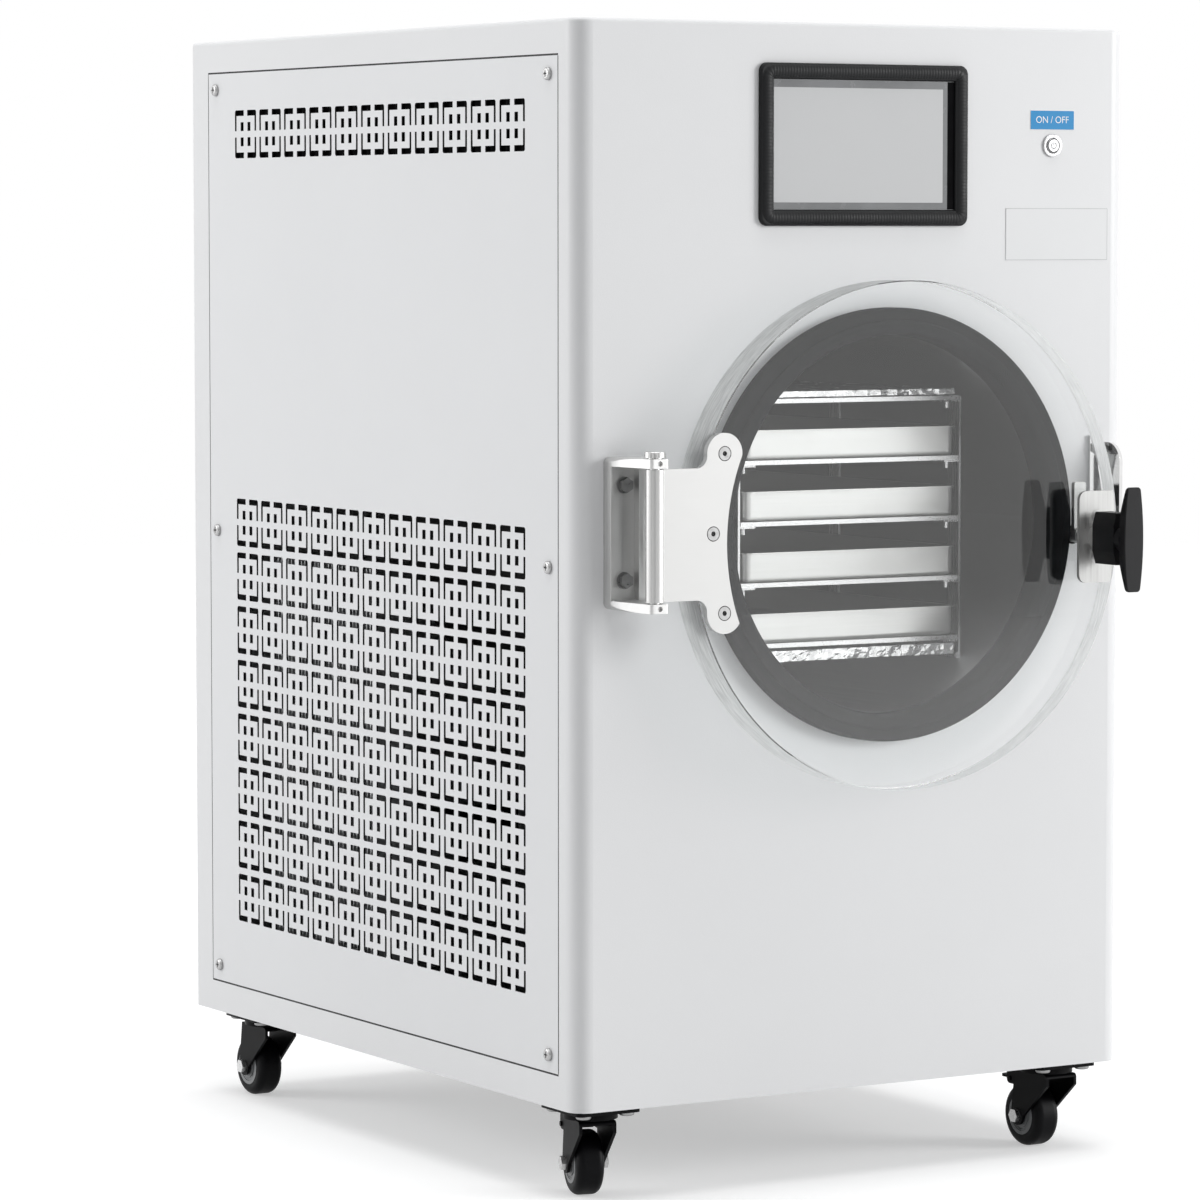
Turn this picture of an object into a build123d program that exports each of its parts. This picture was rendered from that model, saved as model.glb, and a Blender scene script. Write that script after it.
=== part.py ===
from build123d import *
import os

os.makedirs("parts", exist_ok=True)

# Freeze dryer on four casters: a sheet-steel cabinet with a round vacuum chamber in its
# front, a clear disc door, a heated tray rack, a refrigeration set and a touch screen.
# Frame: +X right, +Y back, +Z up. The origin is on the floor, under the middle of the
# overall depth (door handle to drain outlet) and of the width.

# ---------------------------------------------------------------- driving dimensions (mm)
cabinet_width = 507
cabinet_depth = 643
cabinet_height = 824
sheet = 1.5
corner_radius = 15
edge_radius = 3

# service panels in the two sides
panel_front_margin = 26.5
panel_rear_margin = 29.5
panel_bottom_margin = 26.5
panel_top_margin = 27
panel_gap = 0.8
panel_corner_radius = 2
ledge_overlap = 20
ledge_bond = 8
screw_inset = 14

# punched grille motif
motif_width = 39
motif_height = 40
grille_column_pitch = 44.9
grille_row_pitch = 45.4
grille_columns = 11
grille_rows_left = 8
grille_rows_right = 3
upper_grille_drop = 51.6
lower_grille_rise = 76
motif_bar = 4.8
motif_leg = 2.9
motif_bridge = 6.4
motif_waist = 5.2
motif_slot_width = 5.4
motif_slot_inset = 3.6
motif_slot_height = 7.4
motif_outer_radius = 2.2

# vacuum chamber
chamber_x = 17
chamber_rise = 439
chamber_bore_radius = 152
chamber_wall = 2.5
chamber_depth = 430
chamber_back = 4
chamber_hole_clearance = 0.5
coil_pipe_radius = 4.75
coil_clearance = 0.25
coil_turns = 8
coil_pitch = 48
coil_first = 40
insulation_thickness = 15.5
insulation_cap = 14
insulation_round = 8

# door gasket
gasket_height = 16
gasket_gap = 0.3
gasket_flange = 4
gasket_flange_width = 9.5
gasket_lip_width = 12
gasket_lip_inset = 6
gasket_sleeve = 12
gasket_sleeve_wall = 4.5

# door
door_overhang = 44
door_thickness = 30
door_drop = 7.5
door_edge_chamfer = 0.8

# hinge
hinge_outreach = 37
hinge_pin_radius = 4
hinge_pin_proud = 6
hinge_barrel_radius = 7
hinge_fit = 0.05
hinge_end_gap = 1
bracket_height = 115
bracket_arm = 7
bracket_depth = 11
bracket_floor = 4
bracket_left_wall = 1.8
bracket_right_wall = 7
bracket_left_reach = 13.5
bracket_right_reach = 18
bracket_corner_radius = 5
clamp_block = 16
pin_head_radius = 8
pin_head_thickness = 4.3
pin_collar_radius = 5.5
pin_collar_thickness = 1
set_screw_radius = 2
set_screw_length = 1.5
bolt_radius = 3
bolt_hole_clearance = 0.2
bolt_head_across_flats = 10
bolt_head_height = 4
washer_radius = 6.4
washer_thickness = 1.2
bolt_grip = 12
bracket_bolt_spacing = 72
bracket_bolt_shift = 2
leaf_thickness = 5
leaf_edge_margin = 27
leaf_lobe_radius = 15.5
leaf_lobe_spacing = 120
leaf_lobe_reach = 62
leaf_middle_screw_reach = 52
leaf_inner_fillet = 9
csk_radius = 5
csk_depth = 2.7
csk_shank_radius = 2.5
csk_length = 20
csk_socket = 3.5
csk_clearance = 0.1

# quarter-turn latch
latch_inset = 22
latch_drop = 13
latch_plate_thickness = 3
latch_plate_left = 16.5
latch_plate_height = 72
latch_plate_corner = 7
latch_plate_edge_margin = 4
latch_screw_spacing = 32
boss_radius = 9
boss_length = 8
boss_round = 1
neck_radius = 10
neck_length = 6.5
neck_bore_clearance = 0.05
latch_gap = 0.3
shaft_radius = 4
hub_width = 20
hub_height = 40.5
hub_thickness = 28
hub_clip_width = 3
hub_clip_height = 10
handle_length = 81.5
handle_middle_width = 18.5
handle_end_width = 12.5
handle_thickness = 7
handle_end_thickness = 2.5
handle_chamfer = 0.75
pawl_length = 42
pawl_width = 11
pawl_thickness = 4
pawl_washer_radius = 6.3
pawl_washer_thickness = 2.2
nut_across_flats = 11
nut_height = 4.5
keeper_thickness = 3
keeper_offset = 38
keeper_foot_width = 21
keeper_stand = 27
keeper_top = 72
keeper_foot_top = 78
keeper_bottom = 28
keeper_round = 16
keeper_slot_depth = 8.5
keeper_slot_start = 7
keeper_slot_below = 12
keeper_slot_above = 30
keeper_bolt_offset = 26
keeper_bolt_up = 68
keeper_bolt_down = 19

# tray rack
rack_setback = 50
rack_length = 360
rack_width_share = 26 / 19
rack_drop_share = 13.5 / 19
rack_rise_share = 12 / 19
rack_bar = 2
rack_bar_depth = 15
rack_foot_radius = 2.6
shelf_count = 5
shelf_bottom_margin = 15
shelf_top_margin = 0.6
shelf_thickness = 3.5
shelf_clearance = 0.5
shelf_tab = 14
shelf_tab_thickness = 1.5
shelf_stud_radius = 2
shelf_stud_length = 5
cross_bar = 6
mat_top = 6
mat_bottom = 10
mat_side_margin = 4
tray_side_margin = 6
tray_length = 350
tray_height = 23.5
tray_wall = 1
tray_corner_radius = 6
tray_bottom_radius = 4
tray_rim = 2

# front controls
screen_x = 3
screen_rise = 731
bezel_width = 191
bezel_height = 124
bezel_band = 12
bezel_corner_radius = 7
bezel_proud = 4
bezel_round = 1.6
glass_clearance = 0.4
glass_thickness = 3
glass_recess = 2
display_margin = 4
display_depth = 28
control_x = 181
button_rise = 732
button_ring_radius = 9
button_ring_proud = 1.5
button_body_radius = 8
button_body_length = 20
button_cap_radius = 6
button_cap_proud = 2.6
button_cap_depth = 9
button_travel = 1.5
button_clearance = 0.3
switch_label_rise = 752
switch_label_width = 42
switch_label_height = 15
blank_label_x = 186
blank_label_rise = 662.5
blank_label_width = 98.5
blank_label_height = 41
label_thickness = 0.3
label_corner_radius = 0.5

# panel screws
screw_head_radius = 5
screw_head_height = 3
screw_shank_radius = 2.5
screw_hole_clearance = 0.1
screw_length = 9
screw_recess_width = 1.2

# base and rear
base_thickness = 3
base_flange = 22
rear_ledge = 14
rear_screw_inset = 8
vent_slot_length = 44
vent_slot_height = 6
vent_column_pitch = 60
vent_row_pitch = 16
vent_columns = 6
vent_rows_top = 4
vent_rows_bottom = 3
vent_top_drop = 81
vent_bottom_rise = 132.5
cradle_thickness = 3
cradle_width = 180
cradle_front = 95
cradle_rear = 400
cradle_lip = 18

# refrigeration set
compressor_x = 70
compressor_setback = 250
compressor_radius = 62
compressor_height = 165
compressor_round = 26
compressor_foot_width = 150
compressor_foot_length = 130
compressor_foot_thickness = 3
compressor_seam = 3
mount_radius = 11
mount_height = 12
mount_spacing_x = 126
mount_spacing_y = 106
terminal_width = 46
terminal_height = 52
terminal_depth = 16
condenser_thickness = 38
condenser_side_gap = 6
condenser_length = 170
condenser_setback = 340
condenser_height = 390
condenser_fin = 0.8
condenser_fin_pitch = 6
condenser_rows = 12
condenser_end_plate = 1.5
condenser_pipe_radius = 4.75
fan_radius = 70
fan_tip_gap = 5
fan_rise = 135
fan_setback = 425
fan_ring_wall = 2
fan_ring_depth = 26
fan_plate = 2
fan_gap = 4
fan_hub_radius = 20
fan_hub_depth = 18
fan_blades = 5
fan_blade_thickness = 1.6
fan_blade_pitch = 32
fan_blade_width = 30
motor_radius = 30
motor_length = 46
motor_gap = 0.5
motor_shaft_radius = 3
motor_arm = 10

# control box, power inlet, vacuum port, drain
control_box_width = 220
control_box_length = 150
control_box_height = 100
control_box_setback = 180
control_box_round = 5
control_box_slot = 3
inlet_x = -170
inlet_rise = 60
inlet_flange_width = 50
inlet_flange_height = 30
inlet_flange_thickness = 2.5
inlet_recess_width = 24
inlet_recess_height = 16.5
inlet_recess_depth = 17
inlet_body_depth = 26
inlet_wall = 2.5
inlet_pin_width = 2
inlet_pin_height = 5
inlet_pin_pitch = 7
port_offset_x = 60
port_offset_z = 40
port_radius = 14
port_wall = 2
port_flange_radius = 20
port_flange_thickness = 6
port_reach = 30
drain_inset = 14
drain_pipe_radius = 6
drain_pipe_wall = 1.5
valve_body_radius = 13
valve_body_length = 30
valve_gap = 3
valve_chamfer = 1
valve_outlet_length = 22
valve_outlet_radius = 7
valve_stem_radius = 4
valve_stem_height = 8
lever_length = 48
lever_width = 12
lever_thickness = 3
lever_hub_radius = 8
port_clearance = 0.5

# casters
caster_left_x = -222
caster_right_x = 204
caster_front_setback = 32
caster_rear_setback = 570
caster_trail = 20
caster_plate_width = 56
caster_plate_length = 60
caster_plate_thickness = 3
caster_plate_corner = 5
caster_bolt_spacing_x = 38
caster_bolt_spacing_y = 44
caster_bolt_radius = 3
caster_bolt_head_radius = 6
caster_bolt_head_height = 3
race_radius = 21
race_height = 6
race_gap = 0.3
king_pin_radius = 4
king_pin_fit = 0.05
king_pin_head_radius = 7
king_pin_head_height = 2.5
wheel_radius = 25
wheel_width = 22
wheel_shoulder = 6
wheel_hub_radius = 16
wheel_hub_recess = 1
wheel_hub_rim = 3
wheel_crown_gap = 9.7
wheel_face_gap = 1.2
axle_radius = 3
axle_fit = 0.05
fork_leg = 2.5
fork_crown = 3
fork_top_front = 21
fork_top_rear = 23
fork_tip_radius = 8
axle_head_across_flats = 10
axle_head_height = 4
front_left_swivel = -15
brake_pivot_back = 30
brake_pivot_drop = 9
brake_pivot_radius = 2
brake_width = 20
brake_length = 20
brake_thickness = 2
brake_hub_radius = 4

# ---------------------------------------------------------------- places worked out from them
front_reach = (
    gasket_height
    + door_thickness
    + latch_plate_thickness
    + boss_length
    + hub_thickness
    + neck_length
    + handle_thickness
)
rear_reach = valve_gap + valve_body_length + valve_outlet_length
caster_height = (
    2 * wheel_radius
    + wheel_crown_gap
    + fork_crown
    + race_gap
    + race_height
    + caster_plate_thickness
)
front_y = front_reach - (front_reach + cabinet_depth + rear_reach) / 2
rear_y = front_y + cabinet_depth
middle_y = (front_y + rear_y) / 2
base_z = caster_height
top_z = base_z + cabinet_height
side_x = cabinet_width / 2

panel_length = cabinet_depth - panel_front_margin - panel_rear_margin
panel_height = cabinet_height - panel_bottom_margin - panel_top_margin
panel_y = front_y + panel_front_margin + panel_length / 2
panel_z = base_z + panel_bottom_margin + panel_height / 2

chamber_z = base_z + chamber_rise
chamber_outer_radius = chamber_bore_radius + chamber_wall
chamber_axis = Axis((chamber_x, 0, chamber_z), (0, 1, 0))
gasket_lip_radius = chamber_bore_radius - gasket_lip_inset
drain_drop = chamber_bore_radius - drain_inset
chamber_end_y = front_y + chamber_depth
coil_radius = chamber_outer_radius + coil_clearance + coil_pipe_radius
insulation_bore = chamber_outer_radius + 2 * coil_clearance + 2 * coil_pipe_radius
insulation_radius = insulation_bore + insulation_thickness

door_back_y = front_y - gasket_height
door_front_y = door_back_y - door_thickness
door_z = chamber_z - door_drop
door_radius = chamber_bore_radius + door_overhang

pin_x = chamber_x - door_radius - hinge_outreach
pin_y = door_front_y - hinge_pin_proud
bracket_left_x = pin_x - bracket_left_reach
bracket_right_x = pin_x + bracket_right_reach
bracket_top_z = chamber_z + bracket_height / 2
bracket_bottom_z = chamber_z - bracket_height / 2
barrel_length = bracket_height - 2 * bracket_arm - 2 * hinge_end_gap
bracket_bolt_places = [
    (pin_x + bracket_bolt_shift, chamber_z - bracket_bolt_spacing / 2),
    (pin_x + bracket_bolt_shift, chamber_z + bracket_bolt_spacing / 2),
]
leaf_edge_radius = door_radius - leaf_edge_margin

latch_x = chamber_x + door_radius - latch_inset
latch_z = chamber_z - latch_drop
latch_plate_front_y = door_front_y - latch_plate_thickness
hub_back_y = latch_plate_front_y - boss_length
hub_front_y = hub_back_y - hub_thickness
bar_back_y = hub_front_y - neck_length
keeper_x = latch_x + keeper_offset
keeper_bolt_places = [
    (latch_x + keeper_bolt_offset, latch_z + keeper_bolt_up),
    (latch_x + keeper_bolt_offset, latch_z - keeper_bolt_down),
]
pawl_front_y = door_back_y + latch_gap + pawl_washer_thickness

rack_front_y = front_y + rack_setback
rack_middle_y = rack_front_y + rack_length / 2
rack_width = chamber_bore_radius * rack_width_share
rack_bottom_rise = chamber_rise - chamber_bore_radius * rack_drop_share
rack_top_rise = chamber_rise + chamber_bore_radius * rack_rise_share
rack_height = rack_top_rise - rack_bottom_rise
shelf_width = rack_width - 2 * rack_bar - 2 * shelf_clearance
shelf_first_rise = rack_bottom_rise + shelf_bottom_margin
shelf_pitch = (rack_height - shelf_bottom_margin + shelf_top_margin) / (shelf_count - 1)
shelf_tops = [base_z + shelf_first_rise + level * shelf_pitch for level in range(shelf_count)]
tray_width = rack_width - 2 * tray_side_margin

screen_z = base_z + screen_rise
screen_opening_width = bezel_width - 2 * bezel_band
screen_opening_height = bezel_height - 2 * bezel_band
button_z = base_z + button_rise

port_x = chamber_x + port_offset_x
port_z = chamber_z + port_offset_z
drain_z = chamber_z - drain_drop

condenser_x = -side_x + sheet + condenser_side_gap + condenser_thickness / 2
condenser_y = front_y + condenser_setback + condenser_length / 2
fan_x = condenser_x + condenser_thickness / 2 + fan_gap
fan_y = front_y + fan_setback
fan_z = base_z + fan_rise
fan_rotor_x = fan_x + fan_plate + (fan_ring_depth - fan_hub_depth) / 2
motor_x = fan_rotor_x + fan_hub_depth + motor_gap

axle_z = wheel_radius
plate_bottom_z = base_z - caster_plate_thickness
crown_top_z = plate_bottom_z - race_height - race_gap
fork_inner = wheel_width + 2 * wheel_face_gap
fork_outer = fork_inner + 2 * fork_leg
casters = {
    "front_left": (caster_left_x, front_y + caster_front_setback, front_left_swivel),
    "front_right": (caster_right_x, front_y + caster_front_setback, 0),
    "rear_left": (caster_left_x, front_y + caster_rear_setback, 0),
    "rear_right": (caster_right_x, front_y + caster_rear_setback, 0),
}


def front_plane(y):
    """Upright plane at depth y that faces the front: local x is +X, local y is +Z."""
    return Plane.XZ.offset(-y)


def side_plane(x):
    """Upright plane at x that faces right: local x is +Y, local y is +Z."""
    return Plane.YZ.offset(x)


# ================================================================ cabinet
window_length = panel_length + 2 * panel_gap
window_height = panel_height + 2 * panel_gap
panel_screw_places = [
    (panel_y + along * (panel_length / 2 - screw_inset), panel_z + up * (panel_height / 2 - screw_inset))
    for along in (-1, 1)
    for up in (-1, 0, 1)
]
rear_panel_width = cabinet_width - 2 * sheet
rear_panel_height = cabinet_height - sheet - base_thickness
rear_panel_z = base_z + base_thickness + rear_panel_height / 2
rear_screw_x = rear_panel_width / 2 - rear_screw_inset
rear_screw_rise = rear_panel_height / 2 - rear_screw_inset
rear_screw_places = [
    (across * rear_screw_x, rear_panel_z + up * rear_screw_rise)
    for across in (-1, 1)
    for up in (-1, 0, 1)
]

# Front, sides and top are one folded and welded skin, open below and behind.
with BuildPart() as cabinet_shell:
    with BuildSketch(Plane.XY.offset(base_z)) as outline:
        with Locations((0, middle_y)):
            Rectangle(cabinet_width, cabinet_depth)
        fillet(outline.vertices().group_by(Axis.Y)[0], corner_radius)
    extrude(amount=cabinet_height)
    top_edges = cabinet_shell.faces().sort_by(Axis.Z)[-1].edges()
    fillet(top_edges.sort_by(Axis.Y)[:-1], edge_radius)
    with BuildSketch(Plane.XY.offset(base_z)) as inside:
        with Locations((0, middle_y + sheet)):
            Rectangle(cabinet_width - 2 * sheet, cabinet_depth)
        fillet(inside.vertices().group_by(Axis.Y)[0], corner_radius - sheet)
    extrude(amount=cabinet_height - sheet, mode=Mode.SUBTRACT)
    # ledge that the rear panel lies on
    with BuildSketch(front_plane(rear_y - sheet)):
        with Locations((0, rear_panel_z)):
            Rectangle(rear_panel_width, rear_panel_height)
            Rectangle(
                rear_panel_width - 2 * rear_ledge,
                rear_panel_height - 2 * rear_ledge,
                mode=Mode.SUBTRACT,
            )
    extrude(amount=sheet)
    with BuildSketch(front_plane(rear_y)):
        with Locations(*rear_screw_places):
            Circle(screw_shank_radius + screw_hole_clearance)
    extrude(amount=3 * sheet, mode=Mode.SUBTRACT)
    # side windows, with the ledge that each side panel lies on
    for side in (-1, 1):
        with BuildSketch(side_plane(side * side_x)):
            with Locations((panel_y, panel_z)):
                RectangleRounded(window_length, window_height, panel_corner_radius + panel_gap)
        extrude(amount=-side * sheet, mode=Mode.SUBTRACT)
        with BuildSketch(side_plane(side * (side_x - sheet))):
            with Locations((panel_y, panel_z)):
                Rectangle(window_length + 2 * ledge_bond, window_height + 2 * ledge_bond)
                Rectangle(
                    window_length - 2 * ledge_overlap,
                    window_height - 2 * ledge_overlap,
                    mode=Mode.SUBTRACT,
                )
        extrude(amount=-side * sheet)
        with BuildSketch(side_plane(side * side_x)):
            with Locations(*panel_screw_places):
                Circle(screw_shank_radius + screw_hole_clearance)
        extrude(amount=-side * 3 * sheet, mode=Mode.SUBTRACT)
    # openings in the front for the chamber, the screen, the button and the bolts
    with BuildSketch(front_plane(front_y)):
        with Locations((chamber_x, chamber_z)):
            Circle(chamber_outer_radius + chamber_hole_clearance)
        with Locations((screen_x, screen_z)):
            Rectangle(screen_opening_width, screen_opening_height)
        with Locations((control_x, button_z)):
            Circle(button_body_radius + button_clearance)
        with Locations(*bracket_bolt_places, *keeper_bolt_places):
            Circle(bolt_radius + bolt_hole_clearance)
    extrude(amount=-2 * sheet, mode=Mode.SUBTRACT)
cabinet_shell.part.label = "cabinet_shell"
export_step(cabinet_shell.part, "parts/cabinet_shell.step")

# Base pan: floor with upturned flanges and two cradles that carry the chamber.
pan_width = cabinet_width - 2 * sheet
pan_depth = cabinet_depth - sheet
with BuildPart() as base_pan:
    with BuildSketch(Plane.XY.offset(base_z)) as pan_outline:
        with Locations((0, middle_y + sheet / 2)):
            Rectangle(pan_width, pan_depth)
        fillet(pan_outline.vertices().group_by(Axis.Y)[0], corner_radius - sheet)
    extrude(amount=base_thickness)
    with BuildSketch(Plane.XY.offset(base_z + base_thickness)):
        with Locations((0, middle_y)):
            Rectangle(pan_width - 2 * sheet, pan_depth - 4 * corner_radius)
            Rectangle(pan_width - 4 * sheet, pan_depth - 4 * corner_radius, mode=Mode.SUBTRACT)
    extrude(amount=base_flange)
    for setback in (cradle_front, cradle_rear):
        with BuildSketch(front_plane(front_y + setback)):
            with Locations((chamber_x, base_z + base_thickness)):
                Rectangle(cradle_width, chamber_rise, align=(Align.CENTER, Align.MIN))
            with Locations((chamber_x, chamber_z)):
                Circle(insulation_radius, mode=Mode.SUBTRACT)
                Rectangle(
                    cradle_width,
                    insulation_radius,
                    align=(Align.CENTER, Align.MIN),
                    mode=Mode.SUBTRACT,
                )
        extrude(amount=-cradle_thickness)
        with BuildSketch(Plane.XY.offset(base_z + base_thickness)):
            with Locations((chamber_x, front_y + setback + cradle_thickness + cradle_lip / 2)):
                Rectangle(cradle_width, cradle_lip)
        extrude(amount=cradle_thickness)
    with BuildSketch(Plane.XY.offset(base_z)):
        for x, y, swivel in casters.values():
            with Locations((x, y)):
                with GridLocations(caster_bolt_spacing_x, caster_bolt_spacing_y, 2, 2):
                    Circle(caster_bolt_radius + screw_hole_clearance)
    extrude(amount=base_thickness + base_flange, mode=Mode.SUBTRACT)
base_pan.part.label = "base_pan"
export_step(base_pan.part, "parts/base_pan.step")

# Rear panel: flat cover with holes for the services and rows of slots above them.
with BuildPart() as rear_panel:
    with BuildSketch(front_plane(rear_y)):
        with Locations((0, rear_panel_z)):
            Rectangle(rear_panel_width, rear_panel_height)
        with Locations(*rear_screw_places):
            Circle(screw_shank_radius + screw_hole_clearance, mode=Mode.SUBTRACT)
        with Locations((port_x, port_z)):
            Circle(port_radius + port_clearance, mode=Mode.SUBTRACT)
        with Locations((chamber_x, drain_z)):
            Circle(drain_pipe_radius + port_clearance, mode=Mode.SUBTRACT)
        with Locations((inlet_x, base_z + inlet_rise)):
            Rectangle(
                inlet_recess_width + 2 * inlet_wall + port_clearance,
                inlet_recess_height + 2 * inlet_wall + port_clearance,
                mode=Mode.SUBTRACT,
            )
        for vent_z, vent_rows in (
            (top_z - vent_top_drop, vent_rows_top),
            (base_z + vent_bottom_rise, vent_rows_bottom),
        ):
            with Locations((0, vent_z)):
                with GridLocations(vent_column_pitch, vent_row_pitch, vent_columns, vent_rows):
                    SlotOverall(vent_slot_length, vent_slot_height, mode=Mode.SUBTRACT)
    extrude(amount=sheet)
rear_panel.part.label = "rear_panel"
export_step(rear_panel.part, "parts/rear_panel.step")

# One motif of the grille: four L-shaped slots round four short upright slots.
with BuildSketch() as motif:
    half_w = motif_width / 2
    half_h = motif_height / 2
    with BuildSketch(mode=Mode.PRIVATE) as quarter:
        with Locations((motif_bridge / 2, half_h - motif_bar)):
            Rectangle(half_w - motif_bridge / 2, motif_bar, align=(Align.MIN, Align.MIN))
        with Locations((half_w - motif_leg, motif_waist / 2)):
            Rectangle(motif_leg, half_h - motif_waist / 2, align=(Align.MIN, Align.MIN))
        fillet(quarter.vertices().sort_by_distance((half_w, half_h))[0], motif_outer_radius)
        with Locations((motif_slot_inset, motif_waist / 2)):
            Rectangle(motif_slot_width, motif_slot_height, align=(Align.MIN, Align.MIN))
    add(quarter.sketch)
    mirror(about=Plane.YZ)
    mirror(about=Plane.XZ)

side_panels = (
    (-1, "left_side_panel", grille_rows_left),
    (1, "right_side_panel", grille_rows_right),
)
for side, panel_name, rows in side_panels:
    grille_middle = lower_grille_rise + (rows - 1) / 2 * grille_row_pitch
    with BuildPart() as side_panel:
        with BuildSketch(side_plane(side * (side_x - sheet))):
            with Locations((panel_y, panel_z)):
                RectangleRounded(panel_length, panel_height, panel_corner_radius)
            with Locations(*panel_screw_places):
                Circle(screw_shank_radius + screw_hole_clearance, mode=Mode.SUBTRACT)
            with Locations((panel_y, panel_z + panel_height / 2 - upper_grille_drop)):
                with GridLocations(grille_column_pitch, grille_row_pitch, grille_columns, 1):
                    add(motif.sketch, mode=Mode.SUBTRACT)
            with Locations((panel_y, panel_z - panel_height / 2 + grille_middle)):
                with GridLocations(grille_column_pitch, grille_row_pitch, grille_columns, rows):
                    add(motif.sketch, mode=Mode.SUBTRACT)
        extrude(amount=side * sheet)
    side_panel.part.label = panel_name
    export_step(side_panel.part, f"parts/{panel_name}.step")

# Cross-recessed pan-head screw, head on +Z, seat at the origin.
with BuildPart() as pan_screw:
    Cylinder(screw_head_radius, screw_head_height, align=(Align.CENTER, Align.CENTER, Align.MIN))
    fillet(pan_screw.edges().sort_by(Axis.Z)[-1], screw_head_height * 0.6)
    Cylinder(screw_shank_radius, screw_length, align=(Align.CENTER, Align.CENTER, Align.MAX))
    with BuildSketch(Plane.XY.offset(screw_head_height)):
        Rectangle(screw_head_radius, screw_recess_width)
        Rectangle(screw_recess_width, screw_head_radius)
    extrude(amount=-screw_head_height / 2, mode=Mode.SUBTRACT)

with BuildPart() as panel_screws:
    for side in (-1, 1):
        for y, z in panel_screw_places:
            with Locations(Plane((side * side_x, y, z), z_dir=(side, 0, 0))):
                add(pan_screw.part)
    for x, z in rear_screw_places:
        with Locations(Plane((x, rear_y, z), z_dir=(0, 1, 0))):
            add(pan_screw.part)
panel_screws.part.label = "panel_screws"
export_step(panel_screws.part, "parts/panel_screws.step")

# ================================================================ chamber
# Deep-drawn vessel with a flat back, and holes for the vacuum port and the drain.
with BuildPart() as vacuum_chamber:
    with BuildSketch(front_plane(front_y)):
        with Locations((chamber_x, chamber_z)):
            Circle(chamber_outer_radius)
    extrude(amount=-chamber_depth)
    with BuildSketch(front_plane(front_y)):
        with Locations((chamber_x, chamber_z)):
            Circle(chamber_bore_radius)
    extrude(amount=-(chamber_depth - chamber_back), mode=Mode.SUBTRACT)
    with BuildSketch(front_plane(chamber_end_y)):
        with Locations((port_x, port_z)):
            Circle(port_radius)
        with Locations((chamber_x, drain_z)):
            Circle(drain_pipe_radius)
    extrude(amount=chamber_back, mode=Mode.SUBTRACT)
vacuum_chamber.part.label = "vacuum_chamber"
export_step(vacuum_chamber.part, "parts/vacuum_chamber.step")

# Evaporator: rings of pipe round the vessel, joined by a header along its top.
header_z = chamber_z + coil_radius
header_radius = coil_pipe_radius - coil_clearance
coil_setbacks = [coil_first + turn * coil_pitch for turn in range(coil_turns)]
header_length = coil_setbacks[-1] - coil_setbacks[0]
with BuildPart() as evaporator_coil:
    for setback in coil_setbacks:
        with Locations(Plane((chamber_x, front_y + setback, chamber_z), z_dir=(0, 1, 0))):
            Torus(coil_radius, coil_pipe_radius)
    with Locations(Plane((chamber_x, front_y + coil_first, header_z), z_dir=(0, 1, 0))):
        Cylinder(header_radius, header_length, align=(Align.CENTER, Align.CENTER, Align.MIN))
evaporator_coil.part.label = "evaporator_coil"
export_step(evaporator_coil.part, "parts/evaporator_coil.step")

# Foam jacket round the coil with a thick cap behind the vessel.
cap_front_y = chamber_end_y + coil_clearance
with BuildPart() as chamber_insulation:
    with BuildSketch(front_plane(front_y + 2 * sheet)):
        with Locations((chamber_x, chamber_z)):
            Circle(insulation_radius)
            Circle(insulation_bore, mode=Mode.SUBTRACT)
    extrude(amount=-(cap_front_y - front_y - 2 * sheet))
    with BuildSketch(front_plane(cap_front_y)):
        with Locations((chamber_x, chamber_z)):
            Circle(insulation_radius)
        with Locations((port_x, port_z)):
            Circle(port_radius + port_clearance, mode=Mode.SUBTRACT)
        with Locations((chamber_x, drain_z)):
            Circle(drain_pipe_radius + port_clearance, mode=Mode.SUBTRACT)
    extrude(amount=-insulation_cap)
    cap_rims = chamber_insulation.edges().filter_by(GeomType.CIRCLE).group_by(Axis.Y)[-1]
    fillet(cap_rims.sort_by(SortBy.RADIUS)[-1], insulation_round)
chamber_insulation.part.label = "chamber_insulation"
export_step(chamber_insulation.part, "parts/chamber_insulation.step")

# Moulded door gasket: a flat flange, a rounded lip inside it and a sleeve into the bore.
sleeve_outer = chamber_bore_radius - gasket_gap
sleeve_inner = sleeve_outer - gasket_sleeve_wall
flange_outer = gasket_lip_radius + gasket_lip_width + gasket_flange_width
gasket_back_y = front_y
gasket_front_y = door_back_y + gasket_gap
with BuildPart() as door_gasket:
    with BuildSketch(Plane.XY.offset(chamber_z)) as gasket_profile:
        with BuildLine():
            Polyline(
                (chamber_x + sleeve_inner, gasket_back_y + gasket_sleeve),
                (chamber_x + sleeve_outer, gasket_back_y + gasket_sleeve),
                (chamber_x + sleeve_outer, gasket_back_y),
                (chamber_x + flange_outer, gasket_back_y),
                (chamber_x + flange_outer, gasket_front_y + gasket_flange),
                (chamber_x + gasket_lip_radius + gasket_lip_width, gasket_front_y + gasket_flange),
                (chamber_x + gasket_lip_radius + gasket_lip_width, gasket_front_y),
                (chamber_x + gasket_lip_radius, gasket_front_y),
                (chamber_x + gasket_lip_radius, gasket_back_y - gasket_flange),
                (chamber_x + sleeve_inner, gasket_back_y - gasket_flange),
                close=True,
            )
        make_face()
        fillet(gasket_profile.vertices().group_by(Axis.Y)[0].sort_by(Axis.X)[0], gasket_lip_width * 0.45)
        fillet(gasket_profile.vertices().group_by(Axis.Y)[0].sort_by(Axis.X)[-1], gasket_flange * 0.7)
        fillet(gasket_profile.vertices().group_by(Axis.X)[-1].sort_by(Axis.Y)[0], gasket_flange * 0.6)
    revolve(axis=chamber_axis, revolution_arc=360)
door_gasket.part.label = "door_gasket"
export_step(door_gasket.part, "parts/door_gasket.step")

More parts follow.
